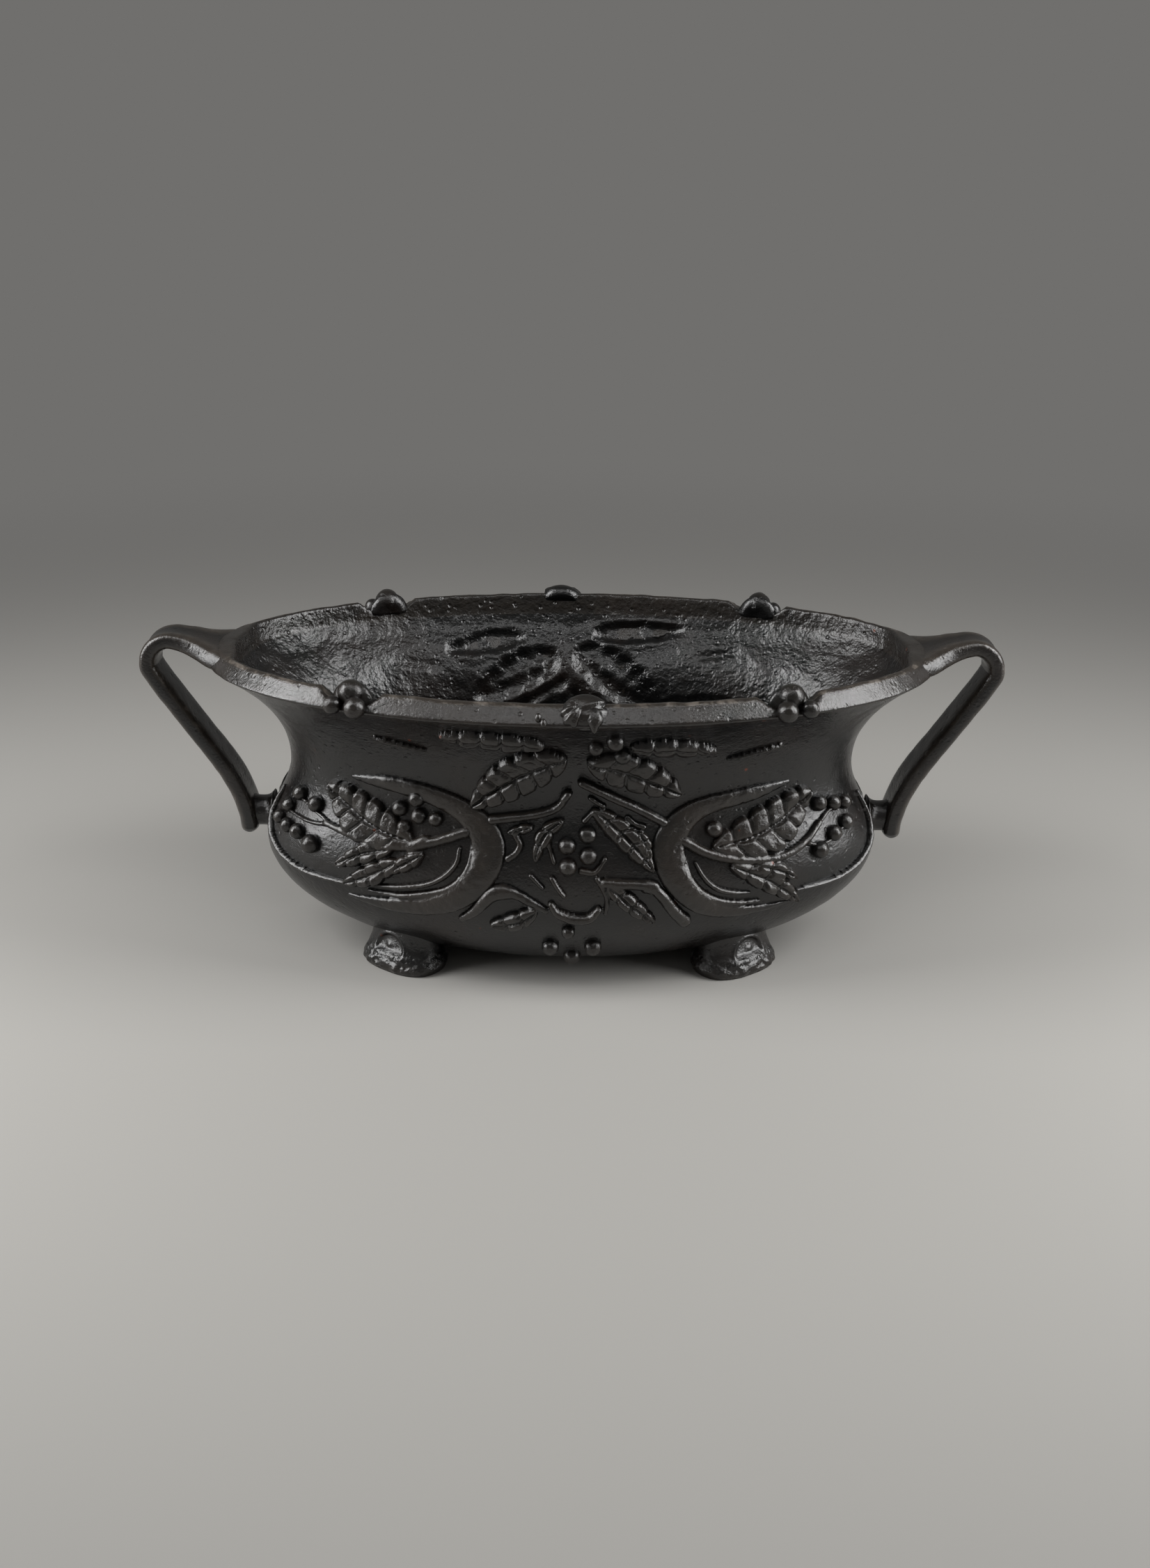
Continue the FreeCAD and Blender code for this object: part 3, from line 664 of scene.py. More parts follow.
class Panel(Enum):
    """Upright drawing planes of the ornament: turn away from the front in degrees, and side."""

    MIDDLE = (0.0, 1.0)
    LEFT_END = (40.0, -1.0)
    RIGHT_END = (40.0, 1.0)

    def across(self) -> Array:
        """Level direction along the panel, which grows towards the handle on an end panel."""
        turn, side = self.value
        return np.array((side * math.cos(math.radians(turn)), math.sin(math.radians(turn)), 0.0))

    def normal(self) -> Array:
        """Level direction out of the panel."""
        turn, side = self.value
        return np.array((side * math.sin(math.radians(turn)), -math.cos(math.radians(turn)), 0.0))


@dataclass(frozen=True)
class Strand:
    """Raised line of the ornament: a stem, a ridge or the broad scroll."""

    points: Line
    half_widths: tuple[float, ...]
    rise: float
    squareness: float = 2.0

    def reach(self) -> float:
        """Half width at its widest."""
        return max(self.half_widths)

    def height(self, across: Array, up: Array) -> Array:
        """Height over the wall at places on the panel.

        Args:
            across: Places along the panel.
            up: Heights of the same places.

        Returns:
            Heights, negative outside the line.
        """
        line = smooth_line(self.points, 6)
        gap = np.full(across.shape, np.inf)
        share = np.zeros(across.shape)
        for i, (start, end) in enumerate(zip(line, line[1:])):
            run = end - start
            t = np.clip(((across - start[0]) * run[0] + (up - start[1]) * run[1]) / (run @ run), 0, 1)
            away = np.hypot(across - start[0] - t * run[0], up - start[1] - t * run[1])
            share = np.where(away < gap, (i + t) / (len(line) - 1), share)
            gap = np.minimum(gap, away)
        half = np.interp(share, np.linspace(0, 1, len(self.half_widths)), self.half_widths)
        crown = np.clip(1 - (gap / half) ** self.squareness, 0, 1) ** (1 / self.squareness)
        rise = self.rise * np.minimum(1, 1.2 * half / self.reach())
        return np.where(gap < half, rise * crown, (half - gap) * 1.2)


@dataclass(frozen=True)
class Leaf:
    """Holly leaf in relief: toothed edges, a sunk midrib and swelling between the side veins."""

    points: Line
    width: float
    teeth: int = 4
    bow: float = 0.0
    fullness: float = 0.85
    rise: float = 4.6
    crumple: float = 0.4
    tooth_depth: float = 0.24
    vein_depth: float = 0.7
    unevenness: float = 0.28
    edge_rounding: float = 0.7
    ground: float = 0.26

    def reach(self) -> float:
        """Furthest that it spreads from the line between its ends."""
        return self.width

    def height(self, across: Array, up: Array) -> Array:
        """Height over the wall at places on the panel.

        Args:
            across: Places along the panel.
            up: Heights of the same places.

        Returns:
            Heights, negative outside the leaf.
        """
        base, tip = np.array(self.points)
        length = float(np.linalg.norm(tip - base))
        way = (tip - base) / length
        flat = np.column_stack((across, up, np.zeros(len(across))))
        shift = self.crumple * cast_noise(flat, 4.2)
        share = ((across - base[0]) * way[0] + (up - base[1]) * way[1] + shift) / length
        inner = np.clip(share, 0, 1)
        bend = self.bow * length * 4 * inner * (1 - inner)
        side = (up - base[1]) * way[0] - (across - base[0]) * way[1] - bend + shift / 2
        between = np.abs(2 * ((inner * self.teeth - 0.35 * self.teeth * np.abs(side) / length) % 1) - 1)
        outline = np.sin(math.pi * inner ** self.fullness) ** 0.6
        edge = self.width / 2 * outline * (1.08 - self.tooth_depth * between ** 4)
        inset = edge - np.abs(side) - np.abs(share - inner) * length
        out = np.abs(2 * np.clip(np.abs(side) / np.maximum(edge, 0.1), 0, 1) - 1)
        block = (1 - self.vein_depth * between ** 8) * (1 - out ** 6)
        block = block * (1 + self.unevenness * cast_noise(flat, 6.5))
        shoulder = 1 - np.exp(-np.maximum(inset, 0) / self.edge_rounding)
        body = self.rise * shoulder * (self.ground + (1 - self.ground) * block)
        return np.where(inset > 0, body, inset * 0.9)


@dataclass(frozen=True)
class Relief:
    """One piece of raised ornament on the wall."""

    node: str
    panel: Panel
    shapes: tuple[Strand | Leaf, ...]
    spacing: float = 0.75
    bedding: float = 0.9
    sunk_edge: float = 0.35
    margin: float = 2.0
    front_degrees: tuple[float, float] = (179.0, 361.0)
    grain: Line = ((0.2, 2.4),)
    wear: float = 0.6
    worn_heights: tuple[float, float] = (1.2, 3.0)

    def heights(self, points: Array) -> Array:
        """Height of the ornament over the wall.

        Args:
            points: Places on the wall, one per row.

        Returns:
            Heights, about minus one where there is no ornament.
        """
        across = points @ self.panel.across()
        up = points[:, 2]
        front = points @ self.panel.normal() > 0
        total = np.full(len(points), -1.0)
        for shape in self.shapes:
            low = np.min(shape.points, axis=0) - shape.reach() - self.margin
            high = np.max(shape.points, axis=0) + shape.reach() + self.margin
            near = front & (across > low[0]) & (across < high[0]) & (up > low[1]) & (up < high[1])
            total[near] = np.maximum(total[near], shape.height(across[near], up[near]))
        return total

    def build(self, bowl: BowlShape) -> Piece:
        """Makes the piece as a thin closed body bedded in the wall.

        Args:
            bowl: The wall it lies on.

        Returns:
            The new object.
        """
        step = mesh_step(self.spacing)
        ends = [np.array(s.points)[:, 1] + d * s.reach() for s in self.shapes for d in (-1, 1)]
        low = max(np.concatenate(ends).min() - self.margin, bowl.base[2] + 1)
        high = min(np.concatenate(ends).max() + self.margin, bowl.lip[2] - 0.5)
        rings = bowl.rings(np.arange(low, high, step))
        wall = bowl.wavy(oval_grid(rings, bowl.even_angles(step, *self.front_degrees)), False)
        rise = self.heights(wall.reshape(-1, 3)).reshape(wall.shape[:2])
        cells = rise > -self.sunk_edge
        cells = cells[:-1, :-1] & cells[1:, :-1] & cells[:-1, 1:] & cells[1:, 1:]
        normals = grid_normals(wall, False)
        top = wall + normals * (rise + cast_lumps(wall, self.grain) * (rise > 0.3))[..., None]
        under = wall - normals * self.bedding
        wear = np.tile(self.wear * ease(rise, *self.worn_heights).ravel(), 2)
        return closed_patch(top, under, without_corner_joins(cells), wear).piece(self.node)


def without_corner_joins(cells: Array) -> Array:
    """Fills cells of a grid where two others would meet only at a corner.

    Args:
        cells: Which cells are filled.

    Returns:
        The same with the added cells.
    """
    filled = cells.copy()
    a, b, c, d = filled[:-1, :-1], filled[:-1, 1:], filled[1:, :-1], filled[1:, 1:]
    for _ in range(3):
        b |= a & d & ~c
        a |= b & c & ~d
    return filled


def closed_patch(top: Array, under: Array, cells: Array, wear: Array) -> Surface:
    """Closed body from two grids, over the chosen cells.

    Args:
        top: Outer points by row and column.
        under: Inner points of the same shape.
        cells: Which cells between the points are filled.
        wear: Wear of each point of both grids.

    Returns:
        The body's surface.
    """
    rows, columns = top.shape[:2]
    index = np.arange(rows * columns).reshape(rows, columns)
    corners = (index[:-1, :-1], index[:-1, 1:], index[1:, 1:], index[1:, :-1])
    quads = np.stack([corner[cells] for corner in corners], axis=1)
    below = rows * columns
    faces = [quads, quads[:, ::-1] + below]
    around = np.pad(cells, 1)
    for down, right, first, second in ((-1, 0, 0, 1), (0, 1, 1, 2), (1, 0, 2, 3), (0, -1, 3, 0)):
        open_side = ~around[1 + down:rows + down, 1 + right:columns + right][cells]
        start = quads[open_side, first]
        end = quads[open_side, second]
        faces.append(np.stack((end, start, start + below, end + below), axis=1))
    used, numbered = np.unique(np.vstack(faces), return_inverse=True)
    points = np.vstack((top.reshape(-1, 3), under.reshape(-1, 3)))[used]
    return Surface(points, numbered.reshape(-1, 4).tolist(), wear[used])


@dataclass(frozen=True)
class BerrySpray:
    """Round berries bedded in the wall, each with its place along the panel, its height and its radius."""

    node: str
    panel: Panel
    places: tuple[Triple, ...]
    stand_off: float = 0.3

    def build(self, bowl: BowlShape) -> Piece:
        """Makes the berries as one piece.

        Args:
            bowl: The wall they sit on.

        Returns:
            The new object.
        """
        berries = []
        for across, height, radius in self.places:
            length, depth = bowl.half_sizes(np.array((height,)))[0]
            flat = self.panel.across() * across
            normal = self.panel.normal()
            scale = np.array((1 / length, 1 / depth, 0.0))
            a = np.sum((normal * scale) ** 2)
            b = np.sum(flat * normal * scale ** 2)
            c = np.sum((flat * scale) ** 2) - 1
            point = flat + normal * ((-b + math.sqrt(b * b - a * c)) / a) + UP * height
            outward = point * scale ** 2
            outward /= np.linalg.norm(outward)
            berries.append(ball(point + outward * radius * self.stand_off, (radius,) * 3, outward, berry_eye))
        return reduce(Surface.joined, berries).piece(self.node)


@dataclass(frozen=True)
class Holly:
    """The ornament of the front, as drawn on its three panels: places along a panel and heights."""

    scroll_rise: float = 4.0
    scroll_half_widths: tuple[float, ...] = (1.2, 4.2, 5.4, 6.6, 7.6, 7.4, 6.0, 4.0, 1.0)
    scroll_squareness: float = 2.6
    stem_rise: float = 3.6
    wave_rise: float = 4.3
    ridge_rise: float = 2.8

    def stem(self, points: Line, start: float, end: float) -> Strand:
        """Round twig that thins towards its end."""
        return Strand(points, (start, end), self.stem_rise * min(start / 2.2, 1.2))

    def ridge(self, points: Line, half: float) -> Strand:
        """Thin even ridge."""
        return Strand(points, (half * 0.6, half, half, half * 0.5), self.ridge_rise)

    def end_panel(self, side: str, panel: Panel, lines: tuple[Line, ...], spray: tuple) -> tuple[Relief, ...]:
        """Pieces of an end panel.

        Args:
            side: The side's name.
            panel: Where they are drawn.
            lines: The scroll's band, the ridges outside and inside its turn, and the border.
            spray: Leaves and stems.

        Returns:
            The scroll, the border and the holly.
        """
        band, outer, inner, border = lines
        scroll = Strand(band, self.scroll_half_widths, self.scroll_rise, self.scroll_squareness)
        ridges = (self.ridge(outer, 2.0), self.ridge(inner, 1.7))
        return (Relief(f"front_{side}_scroll", panel, (scroll,) + ridges),
                Relief(f"front_{side}_panel_border", panel, (self.ridge(border, 1.8),)),
                Relief(f"front_{side}_holly", panel, spray))

    def left_end(self) -> tuple[Relief, ...]:
        """Pieces of the front left panel.

        Returns:
            The scroll, the border and the holly.
        """
        band = ((52, 113.3), (41, 113.5), (28, 113.5), (12, 111), (-3, 105.5), (-14, 97), (-20, 87),
                (-21, 76), (-17, 66), (-8, 57), (6, 51), (22, 48.5), (36, 48), (50, 48.5))
        outer = ((-13.5, 86), (-14, 76), (-11, 68), (-4, 61.5), (9, 57), (22, 55), (36, 55))
        inner = ((-8, 84), (-8, 76), (-3.5, 69), (5, 63.5), (20, 60), (34, 58.5))
        border = ((44, 56), (79, 56.5), (99, 60.5), (112, 68.5), (116, 79), (112, 91))
        leaves = (Leaf(((14, 84), (68, 107)), 24, 6, -0.075, 1.05), Leaf(((24, 79), (56, 65)), 11, 4, 0.06),
                  Leaf(((20, 74), (51, 57)), 12, 4, -0.05), Leaf(((8, 79), (25, 67)), 9, 3))
        stems = (self.stem(((-9, 92), (5, 85.5), (12, 83.5), (24, 80.5), (45, 82), (66, 85)), 3.3, 1.9),
                 self.stem(((9.5, 85), (12, 83.5), (15, 82)), 4.2, 3.8),
                 self.stem(((60, 84), (72, 88), (90, 93)), 1.4, 1.0),
                 self.stem(((62, 85), (78, 83), (100, 84)), 1.4, 1.0),
                 self.ridge(((28, 143.5), (16, 141), (4, 138.5)), 1.2))
        return self.end_panel("left", Panel.LEFT_END, (band, outer, inner, border), leaves + stems)

    def right_end(self) -> tuple[Relief, ...]:
        """Pieces of the front right panel.

        Returns:
            The scroll, the border and the holly.
        """
        band = ((52, 113), (41, 111.5), (28, 109.5), (10, 106.5), (0, 102.5), (-7, 96), (-12, 88),
                (-13.5, 79), (-12, 70), (-6, 60.5), (3, 53), (14, 48.5), (28, 46.5), (48, 47))
        outer = ((-6.5, 81), (-6, 71), (-1.5, 62.5), (7, 56), (17, 53), (30, 52))
        inner = ((-2, 77), (1, 69), (7, 62.5), (15, 59.5), (24, 58))
        border = ((52, 54), (79, 54.5), (99, 58.5), (112, 66.5), (116, 79), (112, 91))
        leaves = (Leaf(((7, 84), (66, 107)), 25, 6, -0.095, 1.05), Leaf(((14, 74), (55, 47)), 12, 5, 0.04),
                  Leaf(((27, 72), (51, 62)), 9, 3, 0.05))
        main_stem = ((-5, 88), (3, 82), (13, 78), (28, 75), (44, 75), (58, 79.5), (70, 87))
        stems = (self.stem(main_stem, 3.3, 1.9), self.stem(((66, 84), (78, 91), (92, 92)), 1.4, 1.0),
                 self.stem(((58, 79), (70, 76), (88, 81)), 1.4, 1.0),
                 self.ridge(((38, 139.5), (25, 136.5), (12, 133.5)), 1.2))
        return self.end_panel("right", Panel.RIGHT_END, (band, outer, inner, border), leaves + stems)

    def middle(self) -> tuple[Relief, ...]:
        """The spray in the middle of the front.

        Returns:
            The holly, as the only piece.
        """
        leaves = (Leaf(((-2, 140), (-51, 106)), 24, 6, -0.04), Leaf(((8, 137), (57, 114)), 21, 5, 0.03),
                  Leaf(((-3, 102), (-18, 78)), 9, 3, -0.12), Leaf(((12, 107), (44, 73)), 13, 5, 0.03),
                  Leaf(((-16, 54), (-42, 43)), 11, 3, 0.1), Leaf(((19, 68), (45, 45)), 10, 4),
                  Leaf(((-18, 97), (-33, 93)), 6, 2), Leaf(((-12, 148), (-66, 152)), 10, 5),
                  Leaf(((29, 147), (74, 142)), 10, 4), Leaf(((35, 95), (42, 80)), 8, 3))
        left_wave = ((-56, 45), (-49, 51), (-41, 60.5), (-34, 63), (-27, 61.5), (-19, 57), (-12, 53))
        right_wave = ((-9.5, 57), (-6, 52), (2, 48.6), (10, 48.8), (15, 54))
        waves = (Strand(left_wave, (2.2, 3.2, 4.4, 4.6, 3.0, 2.6, 2.0), self.wave_rise),
                 Strand(right_wave, (1.9, 2.7, 3.0, 2.9, 2.2), self.wave_rise))
        twigs = ((((-40, 99.5), (-28, 101.5), (-14, 104.5), (-6, 108.5), (-2, 114)), 3.1, 2.3),
                 (((-3, 113), (-1.3, 116)), 2.7, 2.5), (((10.5, 113), (17, 108.5)), 1.7, 1.6),
                 (((6, 122.5), (18, 115.5), (34, 107), (48, 98.5)), 2.6, 2.8),
                 (((7.5, 100.5), (12.5, 106.5)), 1.9, 1.4), (((40, 66.5), (43.5, 65.5)), 4.2, 4.0),
                 (((12.5, 105.5), (17, 98), (23, 91), (31, 84)), 2.5, 1.9),
                 (((29.5, 102), (33, 98.5), (37.5, 96.5)), 1.5, 2.2),
                 (((18, 69), (27, 68), (35, 67.5), (43, 66.5)), 2.8, 3.2),
                 (((44, 65), (49, 59.5), (55, 51), (60, 45)), 3.2, 4.0),
                 (((-28.5, 92.5), (-25.6, 87.6), (-27.6, 83.2), (-32, 80)), 2.0, 2.1),
                 (((-11, 90), (-10, 85), (-8, 79)), 1.7, 1.4), (((6, 75), (13, 74.5), (18, 81)), 2.1, 1.6),
                 (((14, 71), (18, 64), (19.5, 58), (18.5, 52)), 1.6, 1.4),
                 (((-9, 71), (-6, 66), (-3, 62)), 1.9, 1.6), (((-20, 72), (-14, 66)), 1.6, 1.4))
        stems = tuple(self.stem(*twig) for twig in twigs)
        return (Relief("front_centre_holly", Panel.MIDDLE, leaves + waves + stems),)

    def berries(self) -> tuple[BerrySpray, ...]:
        """Groups of berries on the three panels.

        Returns:
            One piece for each group.
        """
        centre = ((-1.5, 88, 4.8), (9, 93.5, 4.8), (9.5, 83, 4.8), (-1, 77.5, 4.8), (22, 150, 4.6),
                  (26, 140, 4.6), (12.5, 146, 4.2))
        base = ((-10, 27, 4.6), (1.5, 17, 4.6), (12.5, 27, 4.6), (-0.5, 39, 3.6))
        left = ((16, 107.5, 4.6), (24.5, 101, 4.4), (14.5, 98, 4.4), (21, 91.5, 4.0), (6, 97.5, 4.0),
                (76, 93, 4.6), (90, 95, 4.4), (98, 86.5, 4.2), (104, 78.5, 4.0), (94.5, 77, 4.2),
                (85, 76.5, 4.4), (73.5, 73, 5.2))
        right = ((10, 93.5, 4.6), (72, 97, 4.6), (83, 94.5, 4.4), (92.5, 92.5, 4.2), (89.5, 83, 4.4),
                 (78.5, 80, 4.6), (67, 74, 4.8))
        return (BerrySpray("front_centre_berries", Panel.MIDDLE, centre),
                BerrySpray("front_base_berries", Panel.MIDDLE, base),
                BerrySpray("front_left_berries", Panel.LEFT_END, left),
                BerrySpray("front_right_berries", Panel.RIGHT_END, right))


@dataclass
class Bowl:
    """The bowl's casting: wall, bevelled rim with four dips, and the rough hollow inside."""

    shape: BowlShape
    reliefs: tuple[Relief, ...]
    spacing: float = 2.25
    rim_density: float = 2.6
    floor_density: float = 0.4
    throat_inset: float = 1.7
    throat_drop: float = 1.5
    saddle_radius: float = 22.0
    hollowing: float = 0.75
    hollow_lips: float = 1.3
    smooth_rows: int = 12
    fade_rows: int = 10
    plain_floor: float = 0.22
    end_plate: float = 5.5
    end_cosines: tuple[float, float] = (0.94, 0.995)
    rim_wear: float = 0.5
    # Wear of the crest ring, high enough for the light grey that is partly a painted highlight along the
    # rim's edge.
    crest_wear_and_highlight: float = 1.5
    crest_lumps: Line = ((0.5, 7.0),)
    core_lumps: Line = ((0.6, 10.0),)

    def profile(self) -> Array:
        """Half length, half depth and height of each ring, from under the middle over the rim to the floor.

        Returns:
            One ring per row.
        """
        s = self.shape
        lip = np.array(s.lip)
        crest = np.array(s.crest)
        mouth = crest - (s.crest_width, s.crest_width, 0.0)
        corner = np.array((*mouth[:2] - self.throat_inset, s.lip[2] - self.throat_drop))
        shoulder = s.lip[2] - 2.0 * s.wall
        floor_top = s.base[2] + s.floor
        share = np.linspace(0, 1, 500)[:, None]
        level = np.ones_like(share)
        outside = s.rings((s.base[2] + (s.lip[2] - s.base[2]) * share ** 2)[:, 0])
        inside = s.rings((shoulder + (floor_top - shoulder) * share ** 0.5)[:, 0]) - (s.wall, s.wall, 0.0)
        under = np.array(s.base) * np.hstack((share, share, level))
        floor = inside[-1] * np.hstack((1 - share, 1 - share, level))
        corners = itertools.pairwise((lip, crest, mouth, corner, inside[0]))
        rim = [start + (end - start) * share for start, end in corners]
        # The flat runs stop short of the middle, where a fan of faces closes them.
        fan = 5
        line = np.vstack((under[fan:], outside, *rim, inside, floor[:-fan]))
        weight = np.where(line[:, 2] > s.lip[2] - 6, self.rim_density, 1.0)
        flat = len(under) - fan
        weight[:flat] = self.floor_density
        weight[-flat:] = self.floor_density
        lengths = np.hypot(np.diff(line[:, 0]), np.diff(line[:, 2])) * weight[1:]
        run = np.concatenate(((0.0,), np.cumsum(lengths)))
        even = np.linspace(0, run[-1], int(run[-1] / mesh_step(self.spacing)))
        rings = np.column_stack([np.interp(even, run, column) for column in line.T])
        for _ in range(2):
            rings[1:-1] = 0.25 * rings[:-2] + 0.5 * rings[1:-1] + 0.25 * rings[2:]
        return rings

    def dipped(self, grid: Array) -> Array:
        """Lowers the rim in a round saddle under each group of berries.

        Args:
            grid: The bowl's points, which are changed.

        Returns:
            The same points.
        """
        s = self.shape
        bottom = s.crest[2] - s.cluster_dip + self.saddle_radius
        for angle in s.cluster_angles().values():
            point, outward, sideways = s.oval_place(angle, s.crest)
            along = (grid - point) @ sideways
            near = (np.abs(along) < self.saddle_radius * 0.9) & ((grid - point) @ outward > -30)
            limit = bottom - np.sqrt(np.maximum(self.saddle_radius ** 2 - along ** 2, 0))
            grid[..., 2] = np.where(near, np.minimum(grid[..., 2], limit), grid[..., 2])
        return grid

    def hollowed(self, grid: Array) -> Array:
        """Gives the inside its rough core surface and the softened reverse of the ornament.

        Args:
            grid: Points from the crest down to the floor's middle.

        Returns:
            The moved points.
        """
        flat = grid.reshape(-1, 3)
        depth = np.zeros(len(flat))
        half_turn = np.array((-1.0, -1.0, 1.0))
        for relief, turn in itertools.product(self.reliefs, (np.ones(3), half_turn)):
            depth = np.maximum(depth, relief.heights(flat * turn))
        depth = softened(depth.reshape(grid.shape[:2]), 1)
        lips = self.hollow_lips * np.maximum(softened(depth, 4) - depth, 0)
        rows = len(grid)
        below_rim = np.clip((np.linspace(0, 1, rows) * rows - self.smooth_rows) / self.fade_rows, 0, 1)
        over_floor = np.linspace(1, 0, rows) > self.plain_floor
        push = cast_lumps(grid, self.core_lumps) - self.hollowing * depth + lips
        return grid + grid_normals(grid, True) * (push * (below_rim * over_floor)[:, None])[..., None]

    def build(self) -> None:
        """Makes the casting."""
        s = self.shape
        rings = self.profile()
        angles = s.even_angles(mesh_step(self.spacing), 0.0, 360.0)[:-1]
        grid = oval_grid(rings, angles)
        top_row = int(np.argmax(rings[:, 2] - 0.01 * rings[:, 0]))
        at_handle = ease(np.abs(np.cos(angles)), *self.end_cosines)
        wear = np.zeros(grid.shape[:2])
        wear[rings[:, 2] > s.lip[2] - 3] = self.rim_wear
        # The crest ring gets enough wear to turn light grey, less towards the handles: rubbed bare iron and a
        # painted highlight along the rim's edge.
        wear[top_row - 3:top_row + 1] = self.crest_wear_and_highlight - at_handle
        plate = np.sign(np.cos(angles)) * self.end_plate * at_handle
        grid[top_row:, :, 0] -= plate * ease(rings[top_row:, 2:], s.lip[2] - 14, s.lip[2] + 2)
        grid[:top_row] = s.wavy(grid[:top_row], True)
        grid[top_row:] = self.hollowed(grid[top_row:])
        grid[..., 2] += cast_lumps(grid, self.crest_lumps) * ease(rings[:, 2:], s.crest[2] - 3, s.crest[2])
        ends = np.array(((0, 0, s.base[2]), (0, 0, s.base[2] + s.floor)))
        surface = tube(self.dipped(grid), ends, wear)
        first_inside = top_row * len(angles)
        under_middle = len(surface.points) - 2
        hollow = [face[0] >= first_inside and face[0] != under_middle for face in surface.faces]
        surface.piece("bowl", np.array(hollow))


@dataclass
class RimOrnament:
    """Groups of three berries on low arches in the rim's dips, and the leaf folded over its long sides."""

    shape: BowlShape
    radii: Triple = (6.8, 5.6, 4.7)
    rises: tuple[float, float] = (7.2, 2.2)
    arch_sizes: Triple = (5.2, 11.55, 12.1)
    arch_inset: float = 2.6
    arch_rise: float = 0.6
    clasp_offset: float = 7.0
    clasp_rise: float = 5.0
    clasp_sink: float = 8.7
    dome_sizes: Triple = (6.5, 11.7, 9.2)
    lobe_sizes: Triple = (5.2, 5.7, 6.2)
    tip_sizes: Triple = (3.4, 4.3, 6.6)
    seed_sizes: Triple = (1.6, 1.6, 2.2)
    seeds: Line = ((-15.9, 0.6), (-13.3, 0.86))

    def cluster(self, node: str, angle: float) -> None:
        """Makes one group of berries.

        Args:
            node: The node it stands for.
            angle: Its place round the rim in degrees.
        """
        s = self.shape
        point, outward, sideways = s.oval_place(angle, (*s.crest[:2], s.crest[2] - s.cluster_dip))
        inward_side = sideways if sideways[0] * point[0] < 0 else -sideways
        top, inner, outer = self.radii
        upper, lower = self.rises
        step = outward * (s.lip[1] - s.crest[1]) + UP * lower
        arch = point - outward * self.arch_inset + UP * self.arch_rise
        surface = ball(arch, self.arch_sizes, outward, hood)
        places = (point + UP * upper, point + step + inward_side * inner, point + step - inward_side * top)
        for place, radius in zip(places, (top, inner, outer)):
            facing = place - point + outward * radius + UP * radius * 0.6
            surface = surface.joined(ball(place, (radius,) * 3, facing, berry_eye))
        surface.piece(node)

    def clasp(self) -> Piece:
        """Makes the leaf on the front rim: a dome with a slit, a ribbed lobe, a drawn-down tip and two seeds.

        Returns:
            The new object.
        """
        s = self.shape
        crest = np.array((0.0, -s.crest[1], s.crest[2]))
        bevel = np.array((0.0, -s.lip[1], s.lip[2])) - crest
        middle = crest + np.array((self.clasp_offset, 0.0, 0.0))
        side = np.array((self.dome_sizes[1], 0.0, 0.0))
        front = np.array((0.0, -1.0, 0.5))
        dome = middle + UP * (self.clasp_rise - self.clasp_sink)
        surface = ball(dome, self.dome_sizes, front, fold_slit)
        # Its back slopes into the wall, so that it doesn't stand out inside the bowl.
        slope = 4.0 * ease(surface.points[:, 2], s.crest[2] - 7, s.crest[2] + 1)
        surface.points[:, 1] = np.minimum(surface.points[:, 1], s.crest_width - 0.5 - s.crest[1] + slope)
        surface = surface.joined(ball(middle - side * 0.53 + bevel * 0.44, self.lobe_sizes, front, fan_ribs))
        surface = surface.joined(ball(middle + side * 0.38 + bevel * 0.7, self.tip_sizes, front, narrowed))
        for across, share in self.seeds:
            seed = crest + bevel * share + np.array((across, -0.4, 0.4))
            surface = surface.joined(ball(seed, self.seed_sizes, front))
        return surface.piece("front_clasp")


